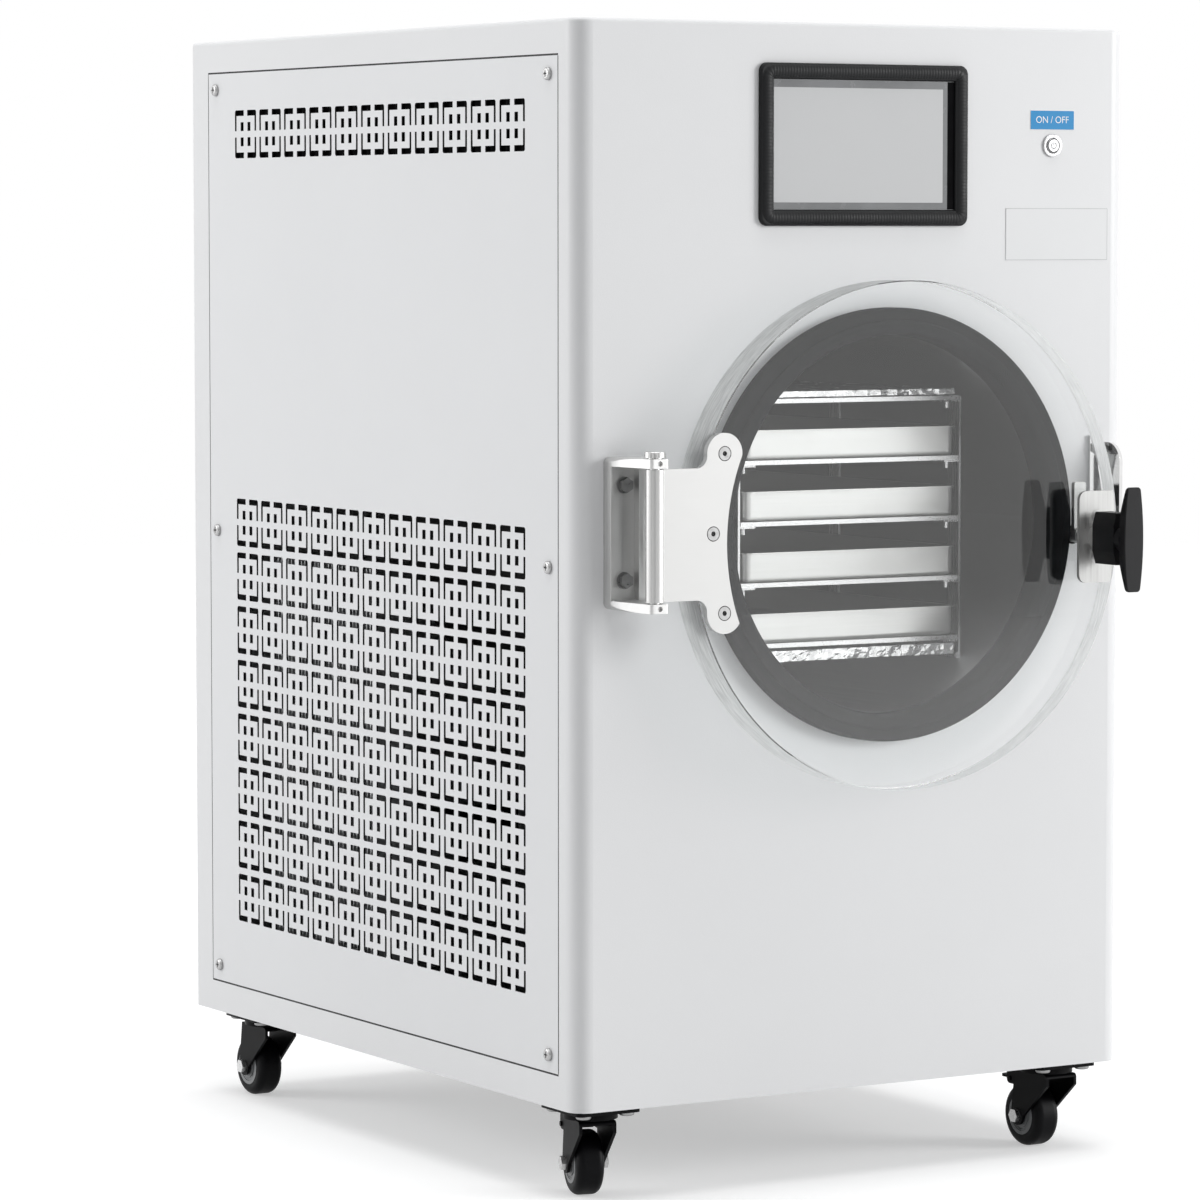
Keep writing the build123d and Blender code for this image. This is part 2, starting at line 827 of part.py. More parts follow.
# ================================================================ door and hinge
leaf_back_y = door_front_y
leaf_front_y = door_front_y - leaf_thickness
lobe_x = pin_x + leaf_lobe_reach
leaf_screw_places = [
    (lobe_x, chamber_z + leaf_lobe_spacing / 2),
    (pin_x + leaf_middle_screw_reach, chamber_z),
    (lobe_x, chamber_z - leaf_lobe_spacing / 2),
]
latch_screw_places = [
    (latch_x, latch_z + latch_screw_spacing / 2),
    (latch_x, latch_z - latch_screw_spacing / 2),
]

# Clear disc with a bore for the latch neck and tapped holes for the screws.
with BuildPart() as door_disc:
    with BuildSketch(front_plane(door_back_y)):
        with Locations((chamber_x, door_z)):
            Circle(door_radius)
        with Locations((latch_x, latch_z)):
            Circle(shaft_radius + hinge_fit, mode=Mode.SUBTRACT)
    extrude(amount=door_thickness)
    rim_edges = door_disc.edges().filter_by(GeomType.CIRCLE).sort_by(SortBy.RADIUS)[-2:]
    chamfer(rim_edges, door_edge_chamfer)
    with BuildSketch(front_plane(door_front_y)):
        with Locations(*leaf_screw_places, *latch_screw_places):
            Circle(csk_shank_radius + csk_clearance)
    extrude(amount=-csk_length, mode=Mode.SUBTRACT)
door_disc.part.label = "door_disc"
export_step(door_disc.part, "parts/door_disc.step")

# Countersunk socket screw, head flush at the origin and facing +Z.
with BuildPart() as csk_screw:
    Cylinder(csk_shank_radius, csk_length, align=(Align.CENTER, Align.CENTER, Align.MAX))
    Cone(csk_shank_radius, csk_radius, csk_depth, align=(Align.CENTER, Align.CENTER, Align.MAX))
    with BuildSketch():
        RegularPolygon(csk_socket / 2, 6, major_radius=False)
    extrude(amount=-csk_depth * 0.8, mode=Mode.SUBTRACT)

# Clearance hole for that screw, its countersink opening at the origin.
with BuildPart() as csk_hole:
    Cylinder(csk_shank_radius + csk_clearance, csk_length, align=(Align.CENTER, Align.CENTER, Align.MAX))
    Cone(
        csk_shank_radius + csk_clearance,
        csk_radius + csk_clearance,
        csk_depth,
        align=(Align.CENTER, Align.CENTER, Align.MAX),
    )

# Door screws: three through the hinge leaf, two through the latch plate.
with BuildPart() as door_screws:
    for x, z in leaf_screw_places:
        with Locations(Plane((x, leaf_front_y, z), z_dir=(0, -1, 0))):
            add(csk_screw.part)
    for x, z in latch_screw_places:
        with Locations(Plane((x, latch_plate_front_y, z), z_dir=(0, -1, 0))):
            add(csk_screw.part)
door_screws.part.label = "door_screws"
export_step(door_screws.part, "parts/door_screws.step")

# Hinge leaf: a barrel on the pin and a plate with two lobes that lies on the door.
with BuildPart() as hinge_leaf:
    with BuildSketch(front_plane(leaf_back_y)) as leaf_outline:
        with Locations((pin_x, chamber_z)):
            Rectangle(leaf_lobe_reach, barrel_length, align=(Align.MIN, Align.CENTER))
        with Locations((lobe_x, chamber_z)):
            Rectangle(2 * leaf_lobe_radius, leaf_lobe_spacing)
        fillet(leaf_outline.vertices().group_by(Axis.X)[1].sort_by(Axis.Y)[1:3], leaf_inner_fillet)
        with Locations((lobe_x, chamber_z)):
            with GridLocations(leaf_lobe_spacing, leaf_lobe_spacing, 1, 2):
                Circle(leaf_lobe_radius)
        with Locations((chamber_x, door_z)):
            Circle(leaf_edge_radius, mode=Mode.SUBTRACT)
    extrude(amount=leaf_thickness)
    with Locations((pin_x, pin_y, chamber_z)):
        Cylinder(hinge_barrel_radius, barrel_length)
        Cylinder(hinge_pin_radius + hinge_fit, barrel_length, mode=Mode.SUBTRACT)
    for x, z in leaf_screw_places:
        with Locations(Plane((x, leaf_front_y, z), z_dir=(0, -1, 0))):
            add(csk_hole.part, mode=Mode.SUBTRACT)
hinge_leaf.part.label = "hinge_leaf"
export_step(hinge_leaf.part, "parts/hinge_leaf.step")

# Hinge bracket: a pocketed block on the cabinet with two arms that hold the pin.
arm_front_y = pin_y - clamp_block / 2
arm_levels = (bracket_bottom_z, bracket_top_z - bracket_arm)
with BuildPart() as hinge_bracket:
    with BuildSketch(front_plane(front_y)):
        with Locations((bracket_left_x, chamber_z)):
            Rectangle(bracket_right_x - bracket_left_x, bracket_height, align=(Align.MIN, Align.CENTER))
    extrude(amount=bracket_depth)
    pocket_left_x = bracket_left_x + bracket_left_wall
    pocket_width = bracket_right_x - bracket_right_wall - pocket_left_x
    with BuildSketch(front_plane(front_y - bracket_floor)):
        with Locations((pocket_left_x, chamber_z)):
            Rectangle(pocket_width, bracket_height - 2 * bracket_arm, align=(Align.MIN, Align.CENTER))
    extrude(amount=bracket_depth, mode=Mode.SUBTRACT)
    for level in arm_levels:
        with BuildSketch(Plane.XY.offset(level)) as arm:
            with BuildLine():
                Polyline(
                    (bracket_left_x, front_y),
                    (bracket_right_x, front_y),
                    (bracket_right_x, front_y - bracket_depth),
                    (pin_x + clamp_block / 2, pin_y + clamp_block / 2),
                    (pin_x + clamp_block / 2, arm_front_y),
                    (pin_x - clamp_block / 2, arm_front_y),
                    (bracket_left_x, front_y - bracket_depth),
                    close=True,
                )
            make_face()
            fillet(arm.vertices().group_by(Axis.Y)[0], bracket_corner_radius / 2)
        extrude(amount=bracket_arm)
    with Locations((pin_x, pin_y, chamber_z)):
        Cylinder(hinge_pin_radius + hinge_fit, bracket_height, mode=Mode.SUBTRACT)
    outer_edges = hinge_bracket.edges().filter_by(Axis.Y).group_by(Axis.X)[0]
    fillet(outer_edges, bracket_corner_radius)
    for level in arm_levels:
        with Locations(Plane((pin_x, arm_front_y, level + bracket_arm / 2), z_dir=(0, -1, 0))):
            Cylinder(
                set_screw_radius,
                clamp_block / 2,
                align=(Align.CENTER, Align.CENTER, Align.MAX),
                mode=Mode.SUBTRACT,
            )
    with BuildSketch(front_plane(front_y)):
        with Locations(*bracket_bolt_places):
            Circle(bolt_radius + bolt_hole_clearance)
    extrude(amount=bracket_floor, mode=Mode.SUBTRACT)
hinge_bracket.part.label = "hinge_bracket"
export_step(hinge_bracket.part, "parts/hinge_bracket.step")

# Hinge pin with a disc head above the top arm, and the set screws that hold it.
with BuildPart() as hinge_pin:
    with Locations((pin_x, pin_y, bracket_bottom_z)):
        Cylinder(hinge_pin_radius, bracket_height, align=(Align.CENTER, Align.CENTER, Align.MIN))
    with Locations((pin_x, pin_y, bracket_top_z)):
        Cylinder(pin_collar_radius, pin_collar_thickness, align=(Align.CENTER, Align.CENTER, Align.MIN))
    with Locations((pin_x, pin_y, bracket_top_z + pin_collar_thickness)):
        Cylinder(pin_head_radius, pin_head_thickness, align=(Align.CENTER, Align.CENTER, Align.MIN))
    fillet(hinge_pin.faces().sort_by(Axis.Z)[-1].edges(), pin_head_thickness / 5)
    for level in arm_levels:
        with Locations(Plane((pin_x, pin_y - hinge_pin_radius, level + bracket_arm / 2), z_dir=(0, -1, 0))):
            Cylinder(
                set_screw_radius - hinge_fit,
                set_screw_length,
                align=(Align.CENTER, Align.CENTER, Align.MIN),
            )
hinge_pin.part.label = "hinge_pin"
export_step(hinge_pin.part, "parts/hinge_pin.step")

# ================================================================ latch
# Latch plate with the fixed boss that the handle's shaft turns in.
with BuildPart() as latch_plate:
    with BuildSketch(front_plane(door_front_y)) as plate_outline:
        with Locations((latch_x - latch_plate_left, latch_z)):
            Rectangle(4 * latch_plate_left, latch_plate_height, align=(Align.MIN, Align.CENTER))
        with Locations((chamber_x, door_z)):
            Circle(door_radius - latch_plate_edge_margin, mode=Mode.INTERSECT)
        fillet(plate_outline.vertices().group_by(Axis.X)[0], latch_plate_corner)
    extrude(amount=latch_plate_thickness)
    with BuildSketch(front_plane(latch_plate_front_y)):
        with Locations((latch_x, latch_z)):
            Circle(boss_radius)
    extrude(amount=boss_length)
    fillet(latch_plate.faces().sort_by(Axis.Y)[0].edges(), boss_round)
    with BuildSketch(front_plane(door_front_y)):
        with Locations((latch_x, latch_z)):
            Circle(shaft_radius + neck_bore_clearance)
    extrude(amount=latch_plate_thickness + boss_length, mode=Mode.SUBTRACT)
    for x, z in latch_screw_places:
        with Locations(Plane((x, latch_plate_front_y, z), z_dir=(0, -1, 0))):
            add(csk_hole.part, mode=Mode.SUBTRACT)
latch_plate.part.label = "latch_plate"
export_step(latch_plate.part, "parts/latch_plate.step")

# Latch handle: T-bar, neck, clipped hub and the shaft that runs through the door to the pawl.
pawl_back_y = pawl_front_y + pawl_thickness
shaft_end_y = pawl_back_y + nut_height
bar_front_y = bar_back_y - handle_thickness
hub_corners = [
    (hub_width / 2 - hub_clip_width, hub_height / 2),
    (hub_width / 2, hub_height / 2 - hub_clip_height),
    (hub_width / 2, hub_clip_height - hub_height / 2),
    (hub_width / 2 - hub_clip_width, -hub_height / 2),
    (hub_clip_width - hub_width / 2, -hub_height / 2),
    (-hub_width / 2, hub_clip_height - hub_height / 2),
    (-hub_width / 2, hub_height / 2 - hub_clip_height),
    (hub_clip_width - hub_width / 2, hub_height / 2),
]
with BuildPart() as latch_handle:
    with BuildSketch(front_plane(hub_back_y - latch_gap)):
        with BuildLine():
            Polyline(*[(latch_x + x, latch_z + z) for x, z in hub_corners], close=True)
        make_face()
    extrude(amount=hub_thickness - latch_gap)
    with BuildSketch(front_plane(hub_front_y)):
        with Locations((latch_x, latch_z)):
            Circle(neck_radius)
    extrude(amount=neck_length)
    with BuildSketch(front_plane(bar_back_y)) as bar_outline:
        with BuildLine():
            right_side = ThreePointArc(
                (latch_x + handle_end_width / 2, latch_z + handle_length / 2),
                (latch_x + handle_middle_width / 2, latch_z),
                (latch_x + handle_end_width / 2, latch_z - handle_length / 2),
            )
            left_side = ThreePointArc(
                (latch_x - handle_end_width / 2, latch_z - handle_length / 2),
                (latch_x - handle_middle_width / 2, latch_z),
                (latch_x - handle_end_width / 2, latch_z + handle_length / 2),
            )
            Line(right_side @ 1, left_side @ 0)
            Line(left_side @ 1, right_side @ 0)
        make_face()
        fillet(bar_outline.vertices(), handle_end_width / 4)
    extrude(amount=handle_thickness)
    # the back of the bar falls away towards its ends
    for up in (-1, 1):
        with BuildSketch(side_plane(latch_x - handle_middle_width)):
            with BuildLine():
                Polyline(
                    (bar_back_y, latch_z + up * handle_length / 4),
                    (bar_back_y, latch_z + up * handle_length),
                    (bar_front_y + handle_end_thickness, latch_z + up * handle_length),
                    (bar_front_y + handle_end_thickness, latch_z + up * handle_length / 2),
                    close=True,
                )
            make_face()
        extrude(amount=2 * handle_middle_width, mode=Mode.SUBTRACT)
    chamfer(latch_handle.faces().sort_by(Axis.Y)[0].edges(), handle_chamfer)
    with Locations(Plane((latch_x, hub_back_y, latch_z), z_dir=(0, 1, 0))):
        Cylinder(shaft_radius, shaft_end_y - hub_back_y, align=(Align.CENTER, Align.CENTER, Align.MIN))
latch_handle.part.label = "latch_handle"
export_step(latch_handle.part, "parts/latch_handle.step")

# Pawl with its washer and nut, on the end of the shaft behind the door.
with BuildPart() as latch_pawl:
    with BuildSketch(front_plane(pawl_front_y)) as pawl_outline:
        with Locations((latch_x, latch_z)):
            Circle(pawl_washer_radius)
            Rectangle(pawl_width, pawl_length, align=(Align.CENTER, Align.MIN))
        fillet(pawl_outline.vertices().group_by(Axis.Y)[-1], pawl_width / 6)
    extrude(amount=-pawl_thickness)
    with BuildSketch(front_plane(pawl_front_y)):
        with Locations((latch_x, latch_z)):
            Circle(pawl_washer_radius)
    extrude(amount=pawl_washer_thickness)
    with BuildSketch(front_plane(pawl_back_y)):
        with Locations((latch_x, latch_z)):
            RegularPolygon(nut_across_flats / 2, 6, major_radius=False)
    extrude(amount=-nut_height)
    with Locations(Plane((latch_x, pawl_front_y, latch_z), z_dir=(0, 1, 0))):
        Cylinder(shaft_radius, 2 * shaft_end_y - 2 * pawl_front_y, mode=Mode.SUBTRACT)
latch_pawl.part.label = "latch_pawl"
export_step(latch_pawl.part, "parts/latch_pawl.step")

# Keeper: an angle whose upright leg has a window for the pawl.
keeper_bottom_z = latch_z - keeper_bottom
keeper_leg_height = keeper_bottom + keeper_top
keeper_foot_height = keeper_bottom + keeper_foot_top
with BuildPart() as latch_keeper:
    with BuildSketch(side_plane(keeper_x)) as keeper_side:
        with Locations((front_y, keeper_bottom_z)):
            Rectangle(keeper_stand, keeper_leg_height, align=(Align.MAX, Align.MIN))
        fillet(keeper_side.vertices().group_by(Axis.X)[0], keeper_round)
    extrude(amount=keeper_thickness)
    with BuildSketch(front_plane(front_y)):
        with Locations((keeper_x, keeper_bottom_z)):
            Rectangle(keeper_foot_width, keeper_foot_height, align=(Align.MAX, Align.MIN))
        with Locations(*keeper_bolt_places):
            Circle(bolt_radius + bolt_hole_clearance, mode=Mode.SUBTRACT)
    extrude(amount=keeper_thickness)
    with BuildSketch(side_plane(keeper_x)):
        with Locations((front_y - keeper_slot_start, latch_z - keeper_slot_below)):
            Rectangle(
                keeper_slot_depth,
                keeper_slot_below + keeper_slot_above,
                align=(Align.MAX, Align.MIN),
            )
    extrude(amount=keeper_thickness, mode=Mode.SUBTRACT)
latch_keeper.part.label = "latch_keeper"
export_step(latch_keeper.part, "parts/latch_keeper.step")

# Bolt with a washer, facing +Z: the washer's underside is at the origin.
with BuildPart() as hex_bolt:
    Cylinder(washer_radius, washer_thickness, align=(Align.CENTER, Align.CENTER, Align.MIN))
    with BuildSketch(Plane.XY.offset(washer_thickness)):
        RegularPolygon(bolt_head_across_flats / 2, 6, major_radius=False)
    extrude(amount=bolt_head_height)
    Cylinder(bolt_radius, bolt_grip, align=(Align.CENTER, Align.CENTER, Align.MAX))

# Small pan-head bolt for the casters, facing -Z below the plates.
with BuildPart() as caster_bolt:
    Cylinder(
        caster_bolt_head_radius,
        caster_bolt_head_height,
        align=(Align.CENTER, Align.CENTER, Align.MIN),
    )
    fillet(caster_bolt.edges().sort_by(Axis.Z)[-1], caster_bolt_head_height * 0.6)
    Cylinder(
        caster_bolt_radius,
        caster_plate_thickness + base_thickness + caster_bolt_head_height,
        align=(Align.CENTER, Align.CENTER, Align.MAX),
    )

with BuildPart() as mounting_bolts:
    for x, z in bracket_bolt_places:
        with Locations(Plane((x, front_y - bracket_floor, z), z_dir=(0, -1, 0))):
            add(hex_bolt.part)
    for x, z in keeper_bolt_places:
        with Locations(Plane((x, front_y - keeper_thickness, z), z_dir=(0, -1, 0))):
            add(hex_bolt.part)
    for x, y, swivel in casters.values():
        with Locations(Plane((x, y, plate_bottom_z), z_dir=(0, 0, -1))):
            with GridLocations(caster_bolt_spacing_x, caster_bolt_spacing_y, 2, 2):
                add(caster_bolt.part)
mounting_bolts.part.label = "mounting_bolts"
export_step(mounting_bolts.part, "parts/mounting_bolts.step")

# ================================================================ tray rack
post_x = rack_width / 2 - rack_bar / 2
rack_rear_y = rack_front_y + rack_length
foot_radius = chamber_bore_radius - rack_foot_radius - hinge_fit
foot_drop = chamber_rise - rack_bottom_rise + rack_foot_radius / 2
foot_x = (foot_radius**2 - foot_drop**2) ** 0.5
with BuildPart() as rack_frame:
    for side in (-1, 1):
        with Locations(
            (chamber_x + side * post_x, rack_front_y + rack_bar_depth / 2, base_z + rack_bottom_rise),
            (chamber_x + side * post_x, rack_middle_y, base_z + rack_bottom_rise),
            (chamber_x + side * post_x, rack_rear_y - rack_bar_depth / 2, base_z + rack_bottom_rise),
        ):
            Box(
                rack_bar,
                rack_bar_depth,
                rack_height,
                align=(Align.CENTER, Align.CENTER, Align.MIN),
            )
        with Locations((chamber_x + side * post_x, rack_middle_y, base_z + rack_bottom_rise)):
            Box(rack_bar, rack_length, rack_bar_depth / 2, align=(Align.CENTER, Align.CENTER, Align.MIN))
        # skid that slides along the bore
        foot_start = (chamber_x + side * foot_x, rack_front_y, chamber_z - foot_drop)
        with Locations(Plane(foot_start, z_dir=(0, 1, 0))):
            Cylinder(rack_foot_radius, rack_length, align=(Align.CENTER, Align.CENTER, Align.MIN))
        for level, shelf_top in enumerate(shelf_tops):
            tab_x = chamber_x + side * (rack_width / 2 - rack_bar - shelf_tab / 2)
            with Locations(
                (tab_x, rack_front_y + rack_bar_depth / 2, shelf_top - shelf_thickness),
                (tab_x, rack_rear_y - rack_bar_depth / 2 - cross_bar, shelf_top - shelf_thickness),
            ):
                Box(
                    shelf_tab,
                    rack_bar_depth,
                    shelf_tab_thickness,
                    align=(Align.CENTER, Align.CENTER, Align.MAX),
                )
                if level > 0:
                    Cylinder(
                        shelf_stud_radius,
                        shelf_tab_thickness + shelf_stud_length,
                        align=(Align.CENTER, Align.CENTER, Align.MAX),
                    )
    # cross bars behind the shelves
    with Locations(
        (chamber_x, rack_rear_y, base_z + rack_bottom_rise),
        (chamber_x, rack_rear_y, base_z + rack_top_rise - cross_bar),
    ):
        Box(rack_width, cross_bar, cross_bar, align=(Align.CENTER, Align.MAX, Align.MIN))
rack_frame.part.label = "rack_frame"
export_step(rack_frame.part, "parts/rack_frame.step")

# Heated shelves, lifted on the tabs of the rack.
shelf_length = rack_length - cross_bar - shelf_clearance
with BuildPart() as heater_shelves:
    for shelf_top in shelf_tops:
        with Locations((chamber_x, rack_front_y, shelf_top)):
            Box(shelf_width, shelf_length, shelf_thickness, align=(Align.CENTER, Align.MIN, Align.MAX))
heater_shelves.part.label = "heater_shelves"
export_step(heater_shelves.part, "parts/heater_shelves.step")

# Foil-faced mats on the top shelf and under the lowest one.
mat_width = shelf_width - 2 * mat_side_margin
with BuildPart() as insulation_mats:
    with Locations((chamber_x, rack_front_y, shelf_tops[-1])):
        Box(mat_width, shelf_length, mat_top, align=(Align.CENTER, Align.MIN, Align.MIN))
    with Locations((chamber_x, rack_front_y, shelf_tops[0] - shelf_thickness - shelf_tab_thickness)):
        Box(mat_width, shelf_length, mat_bottom, align=(Align.CENTER, Align.MIN, Align.MAX))
    fillet(insulation_mats.edges().filter_by(Axis.Y), mat_top / 4)
insulation_mats.part.label = "insulation_mats"
export_step(insulation_mats.part, "parts/insulation_mats.step")

# Four loose trays, one on each lower shelf.
for number, shelf_top in enumerate(shelf_tops[:-1], start=1):
    with BuildPart() as tray:
        with BuildSketch(Plane.XY.offset(shelf_top)):
            with Locations((chamber_x, rack_front_y + tray_length / 2)):
                RectangleRounded(tray_width, tray_length, tray_corner_radius)
        extrude(amount=tray_height)
        fillet(tray.faces().sort_by(Axis.Z)[0].edges(), tray_bottom_radius)
        offset(amount=-tray_wall, openings=tray.faces().sort_by(Axis.Z)[-1])
        with BuildSketch(Plane.XY.offset(shelf_top + tray_height - tray_wall)):
            with Locations((chamber_x, rack_front_y + tray_length / 2)):
                RectangleRounded(
                    tray_width + 2 * tray_rim,
                    tray_length + 2 * tray_rim,
                    tray_corner_radius + tray_rim,
                )
                RectangleRounded(
                    tray_width - 2 * tray_wall,
                    tray_length - 2 * tray_wall,
                    tray_corner_radius - tray_wall,
                    mode=Mode.SUBTRACT,
                )
        extrude(amount=tray_wall)
    tray.part.label = f"tray_{number}"
    export_step(tray.part, f"parts/tray_{number}.step")

# ================================================================ front controls
with BuildPart() as screen_bezel:
    with BuildSketch(front_plane(front_y)):
        with Locations((screen_x, screen_z)):
            RectangleRounded(bezel_width, bezel_height, bezel_corner_radius)
            Rectangle(screen_opening_width, screen_opening_height, mode=Mode.SUBTRACT)
    extrude(amount=bezel_proud)
    fillet(screen_bezel.faces().sort_by(Axis.Y)[0].edges(), bezel_round)
screen_bezel.part.label = "screen_bezel"
export_step(screen_bezel.part, "parts/screen_bezel.step")

# Touch screen: cover glass set back in the bezel, with the display module behind it.
screen_width = screen_opening_width - 2 * glass_clearance
screen_height = screen_opening_height - 2 * glass_clearance
glass_front_y = front_y - bezel_proud + glass_recess
with BuildPart() as touch_screen:
    with Locations((screen_x, glass_front_y, screen_z)):
        Box(screen_width, glass_thickness, screen_height, align=(Align.CENTER, Align.MIN, Align.CENTER))
    with Locations((screen_x, glass_front_y + glass_thickness, screen_z)):
        Box(
            screen_width - 2 * display_margin,
            display_depth,
            screen_height - 2 * display_margin,
            align=(Align.CENTER, Align.MIN, Align.CENTER),
        )
    chamfer(touch_screen.faces().sort_by(Axis.Y)[-1].edges(), display_margin / 2)
touch_screen.part.label = "touch_screen"
export_step(touch_screen.part, "parts/touch_screen.step")

# Power button: ring and body fixed in the panel, with a cap that presses in.
cap_front_y = front_y - button_cap_proud
bore_depth = button_cap_depth - button_cap_proud + 2 * button_travel
with BuildPart() as power_button_housing:
    with BuildSketch(front_plane(front_y)):
        with Locations((control_x, button_z)):
            Circle(button_ring_radius)
    extrude(amount=button_ring_proud)
    ring_edges = power_button_housing.edges().filter_by(GeomType.CIRCLE)
    fillet(ring_edges.sort_by(Axis.Y)[0], button_ring_proud / 2)
    with BuildSketch(front_plane(front_y)):
        with Locations((control_x, button_z)):
            Circle(button_body_radius)
    extrude(amount=-button_body_length)
    with BuildSketch(front_plane(front_y - button_ring_proud)):
        with Locations((control_x, button_z)):
            Circle(button_cap_radius + button_clearance)
    extrude(amount=-(bore_depth + button_ring_proud), mode=Mode.SUBTRACT)
power_button_housing.part.label = "power_button_housing"
export_step(power_button_housing.part, "parts/power_button_housing.step")

with BuildPart() as power_button_cap:
    with BuildSketch(front_plane(cap_front_y)):
        with Locations((control_x, button_z)):
            Circle(button_cap_radius)
    extrude(amount=-button_cap_depth)
    fillet(power_button_cap.edges().filter_by(GeomType.CIRCLE).sort_by(Axis.Y)[0], button_ring_proud / 2)
power_button_cap.part.label = "power_button_cap"
export_step(power_button_cap.part, "parts/power_button_cap.step")

# Two bare labels on the front panel.
with BuildPart() as front_labels:
    with BuildSketch(front_plane(front_y)):
        with Locations((control_x, base_z + switch_label_rise)):
            RectangleRounded(switch_label_width, switch_label_height, label_corner_radius)
        with Locations((blank_label_x, base_z + blank_label_rise)):
            RectangleRounded(blank_label_width, blank_label_height, label_corner_radius)
    extrude(amount=label_thickness)
front_labels.part.label = "front_labels"
export_step(front_labels.part, "parts/front_labels.step")

# ================================================================ refrigeration set
floor_z = base_z + base_thickness
compressor_y = front_y + compressor_setback
shell_bottom_z = floor_z + mount_height + compressor_foot_thickness
# Hermetic compressor on four rubber mounts, with its terminal box.
with BuildPart() as compressor:
    with Locations((compressor_x, compressor_y, floor_z)):
        with GridLocations(mount_spacing_x, mount_spacing_y, 2, 2):
            Cylinder(mount_radius, mount_height, align=(Align.CENTER, Align.CENTER, Align.MIN))
    with BuildSketch(Plane.XY.offset(floor_z + mount_height)):
        with Locations((compressor_x, compressor_y)):
            RectangleRounded(compressor_foot_width, compressor_foot_length, mount_radius)
    extrude(amount=compressor_foot_thickness)
    with BuildSketch(Plane.XZ.offset(-compressor_y)) as shell_profile:
        with Locations((compressor_x, shell_bottom_z)):
            Rectangle(compressor_radius, compressor_height, align=(Align.MIN, Align.MIN))
        fillet(shell_profile.vertices().group_by(Axis.X)[-1], compressor_round)
        with Locations((compressor_x, shell_bottom_z + compressor_height / 2)):
            Rectangle(
                compressor_radius + compressor_seam,
                2 * compressor_seam,
                align=(Align.MIN, Align.CENTER),
            )
    revolve(axis=Axis((compressor_x, compressor_y, 0), (0, 0, 1)), revolution_arc=360)
    with Locations((compressor_x, compressor_y, shell_bottom_z + 0.7 * compressor_height)):
        Box(
            terminal_width,
            compressor_radius + terminal_depth,
            terminal_height,
            align=(Align.CENTER, Align.MAX, Align.CENTER),
        )
compressor.part.label = "compressor"
export_step(compressor.part, "parts/compressor.step")

# Finned condenser: plate fins on straight pipe runs, joined by return bends.
fin_count = int(condenser_length / condenser_fin_pitch) - 1
row_pitch = condenser_height / condenser_rows
row_levels = [floor_z + (row + 0.5) * row_pitch for row in range(condenser_rows)]
condenser_front_y = condenser_y - condenser_length / 2
condenser_rear_y = condenser_y + condenser_length / 2
with BuildPart() as condenser_coil:
    with Locations((condenser_x, condenser_y, floor_z)):
        with GridLocations(1, condenser_fin_pitch, 1, fin_count):
            Box(
                condenser_thickness,
                condenser_fin,
                condenser_height,
                align=(Align.CENTER, Align.CENTER, Align.MIN),
            )
        with GridLocations(1, condenser_length - condenser_end_plate, 1, 2):
            Box(
                condenser_thickness,
                condenser_end_plate,
                condenser_height,
                align=(Align.CENTER, Align.CENTER, Align.MIN),
            )
    for level in row_levels:
        with Locations(Plane((condenser_x, condenser_y, level), z_dir=(0, 1, 0))):
            Cylinder(condenser_pipe_radius, condenser_length)
    for row in range(condenser_rows - 1):
        bend_y = condenser_rear_y if row % 2 else condenser_front_y
        outward = 1 if row % 2 else -1
        with BuildSketch(front_plane(bend_y)):
            with Locations((condenser_x, row_levels[row])):
                Circle(condenser_pipe_radius)
        bend_axis = Axis((condenser_x, bend_y, row_levels[row] + row_pitch / 2), (outward, 0, 0))
        revolve(axis=bend_axis, revolution_arc=-180)
condenser_coil.part.label = "condenser_coil"
export_step(condenser_coil.part, "parts/condenser_coil.step")

# Fan cowl: a plate on the inner face of the condenser with a ring and a motor on four arms.
ring_inner = fan_radius + fan_tip_gap
ring_outer = ring_inner + fan_ring_wall
cowl_size = 2 * (ring_outer + fan_gap)
cowl_face_x = condenser_x + condenser_thickness / 2
with BuildPart() as fan_cowl:
    with BuildSketch(side_plane(cowl_face_x)):
        with Locations((fan_y, fan_z)):
            Rectangle(cowl_size, cowl_size)
            Rectangle(cowl_size - 2 * fan_plate, cowl_size - 2 * fan_plate, mode=Mode.SUBTRACT)
    extrude(amount=fan_gap)
    with BuildSketch(side_plane(fan_x)):
        with Locations((fan_y, fan_z)):
            Rectangle(cowl_size, cowl_size)
            Circle(ring_inner, mode=Mode.SUBTRACT)
    extrude(amount=fan_plate)
    with BuildSketch(side_plane(fan_x)):
        with Locations((fan_y, fan_z)):
            Circle(ring_outer)
            Circle(ring_inner, mode=Mode.SUBTRACT)
    extrude(amount=motor_x + fan_plate - fan_x)
    with BuildSketch(side_plane(motor_x)):
        with Locations((fan_y, fan_z)):
            Rectangle(2 * ring_inner + fan_ring_wall, motor_arm)
            Rectangle(motor_arm, 2 * ring_inner + fan_ring_wall)
    extrude(amount=fan_plate)
    with BuildSketch(side_plane(motor_x)):
        with Locations((fan_y, fan_z)):
            Circle(motor_radius)
    extrude(amount=motor_length)
    fillet(fan_cowl.faces().sort_by(Axis.X)[-1].edges(), motor_radius / 6)
    with BuildSketch(side_plane(motor_x)):
        with Locations((fan_y, fan_z)):
            Circle(motor_shaft_radius)
    extrude(amount=-(fan_hub_depth - 2 * fan_plate))
fan_cowl.part.label = "fan_cowl"
export_step(fan_cowl.part, "parts/fan_cowl.step")

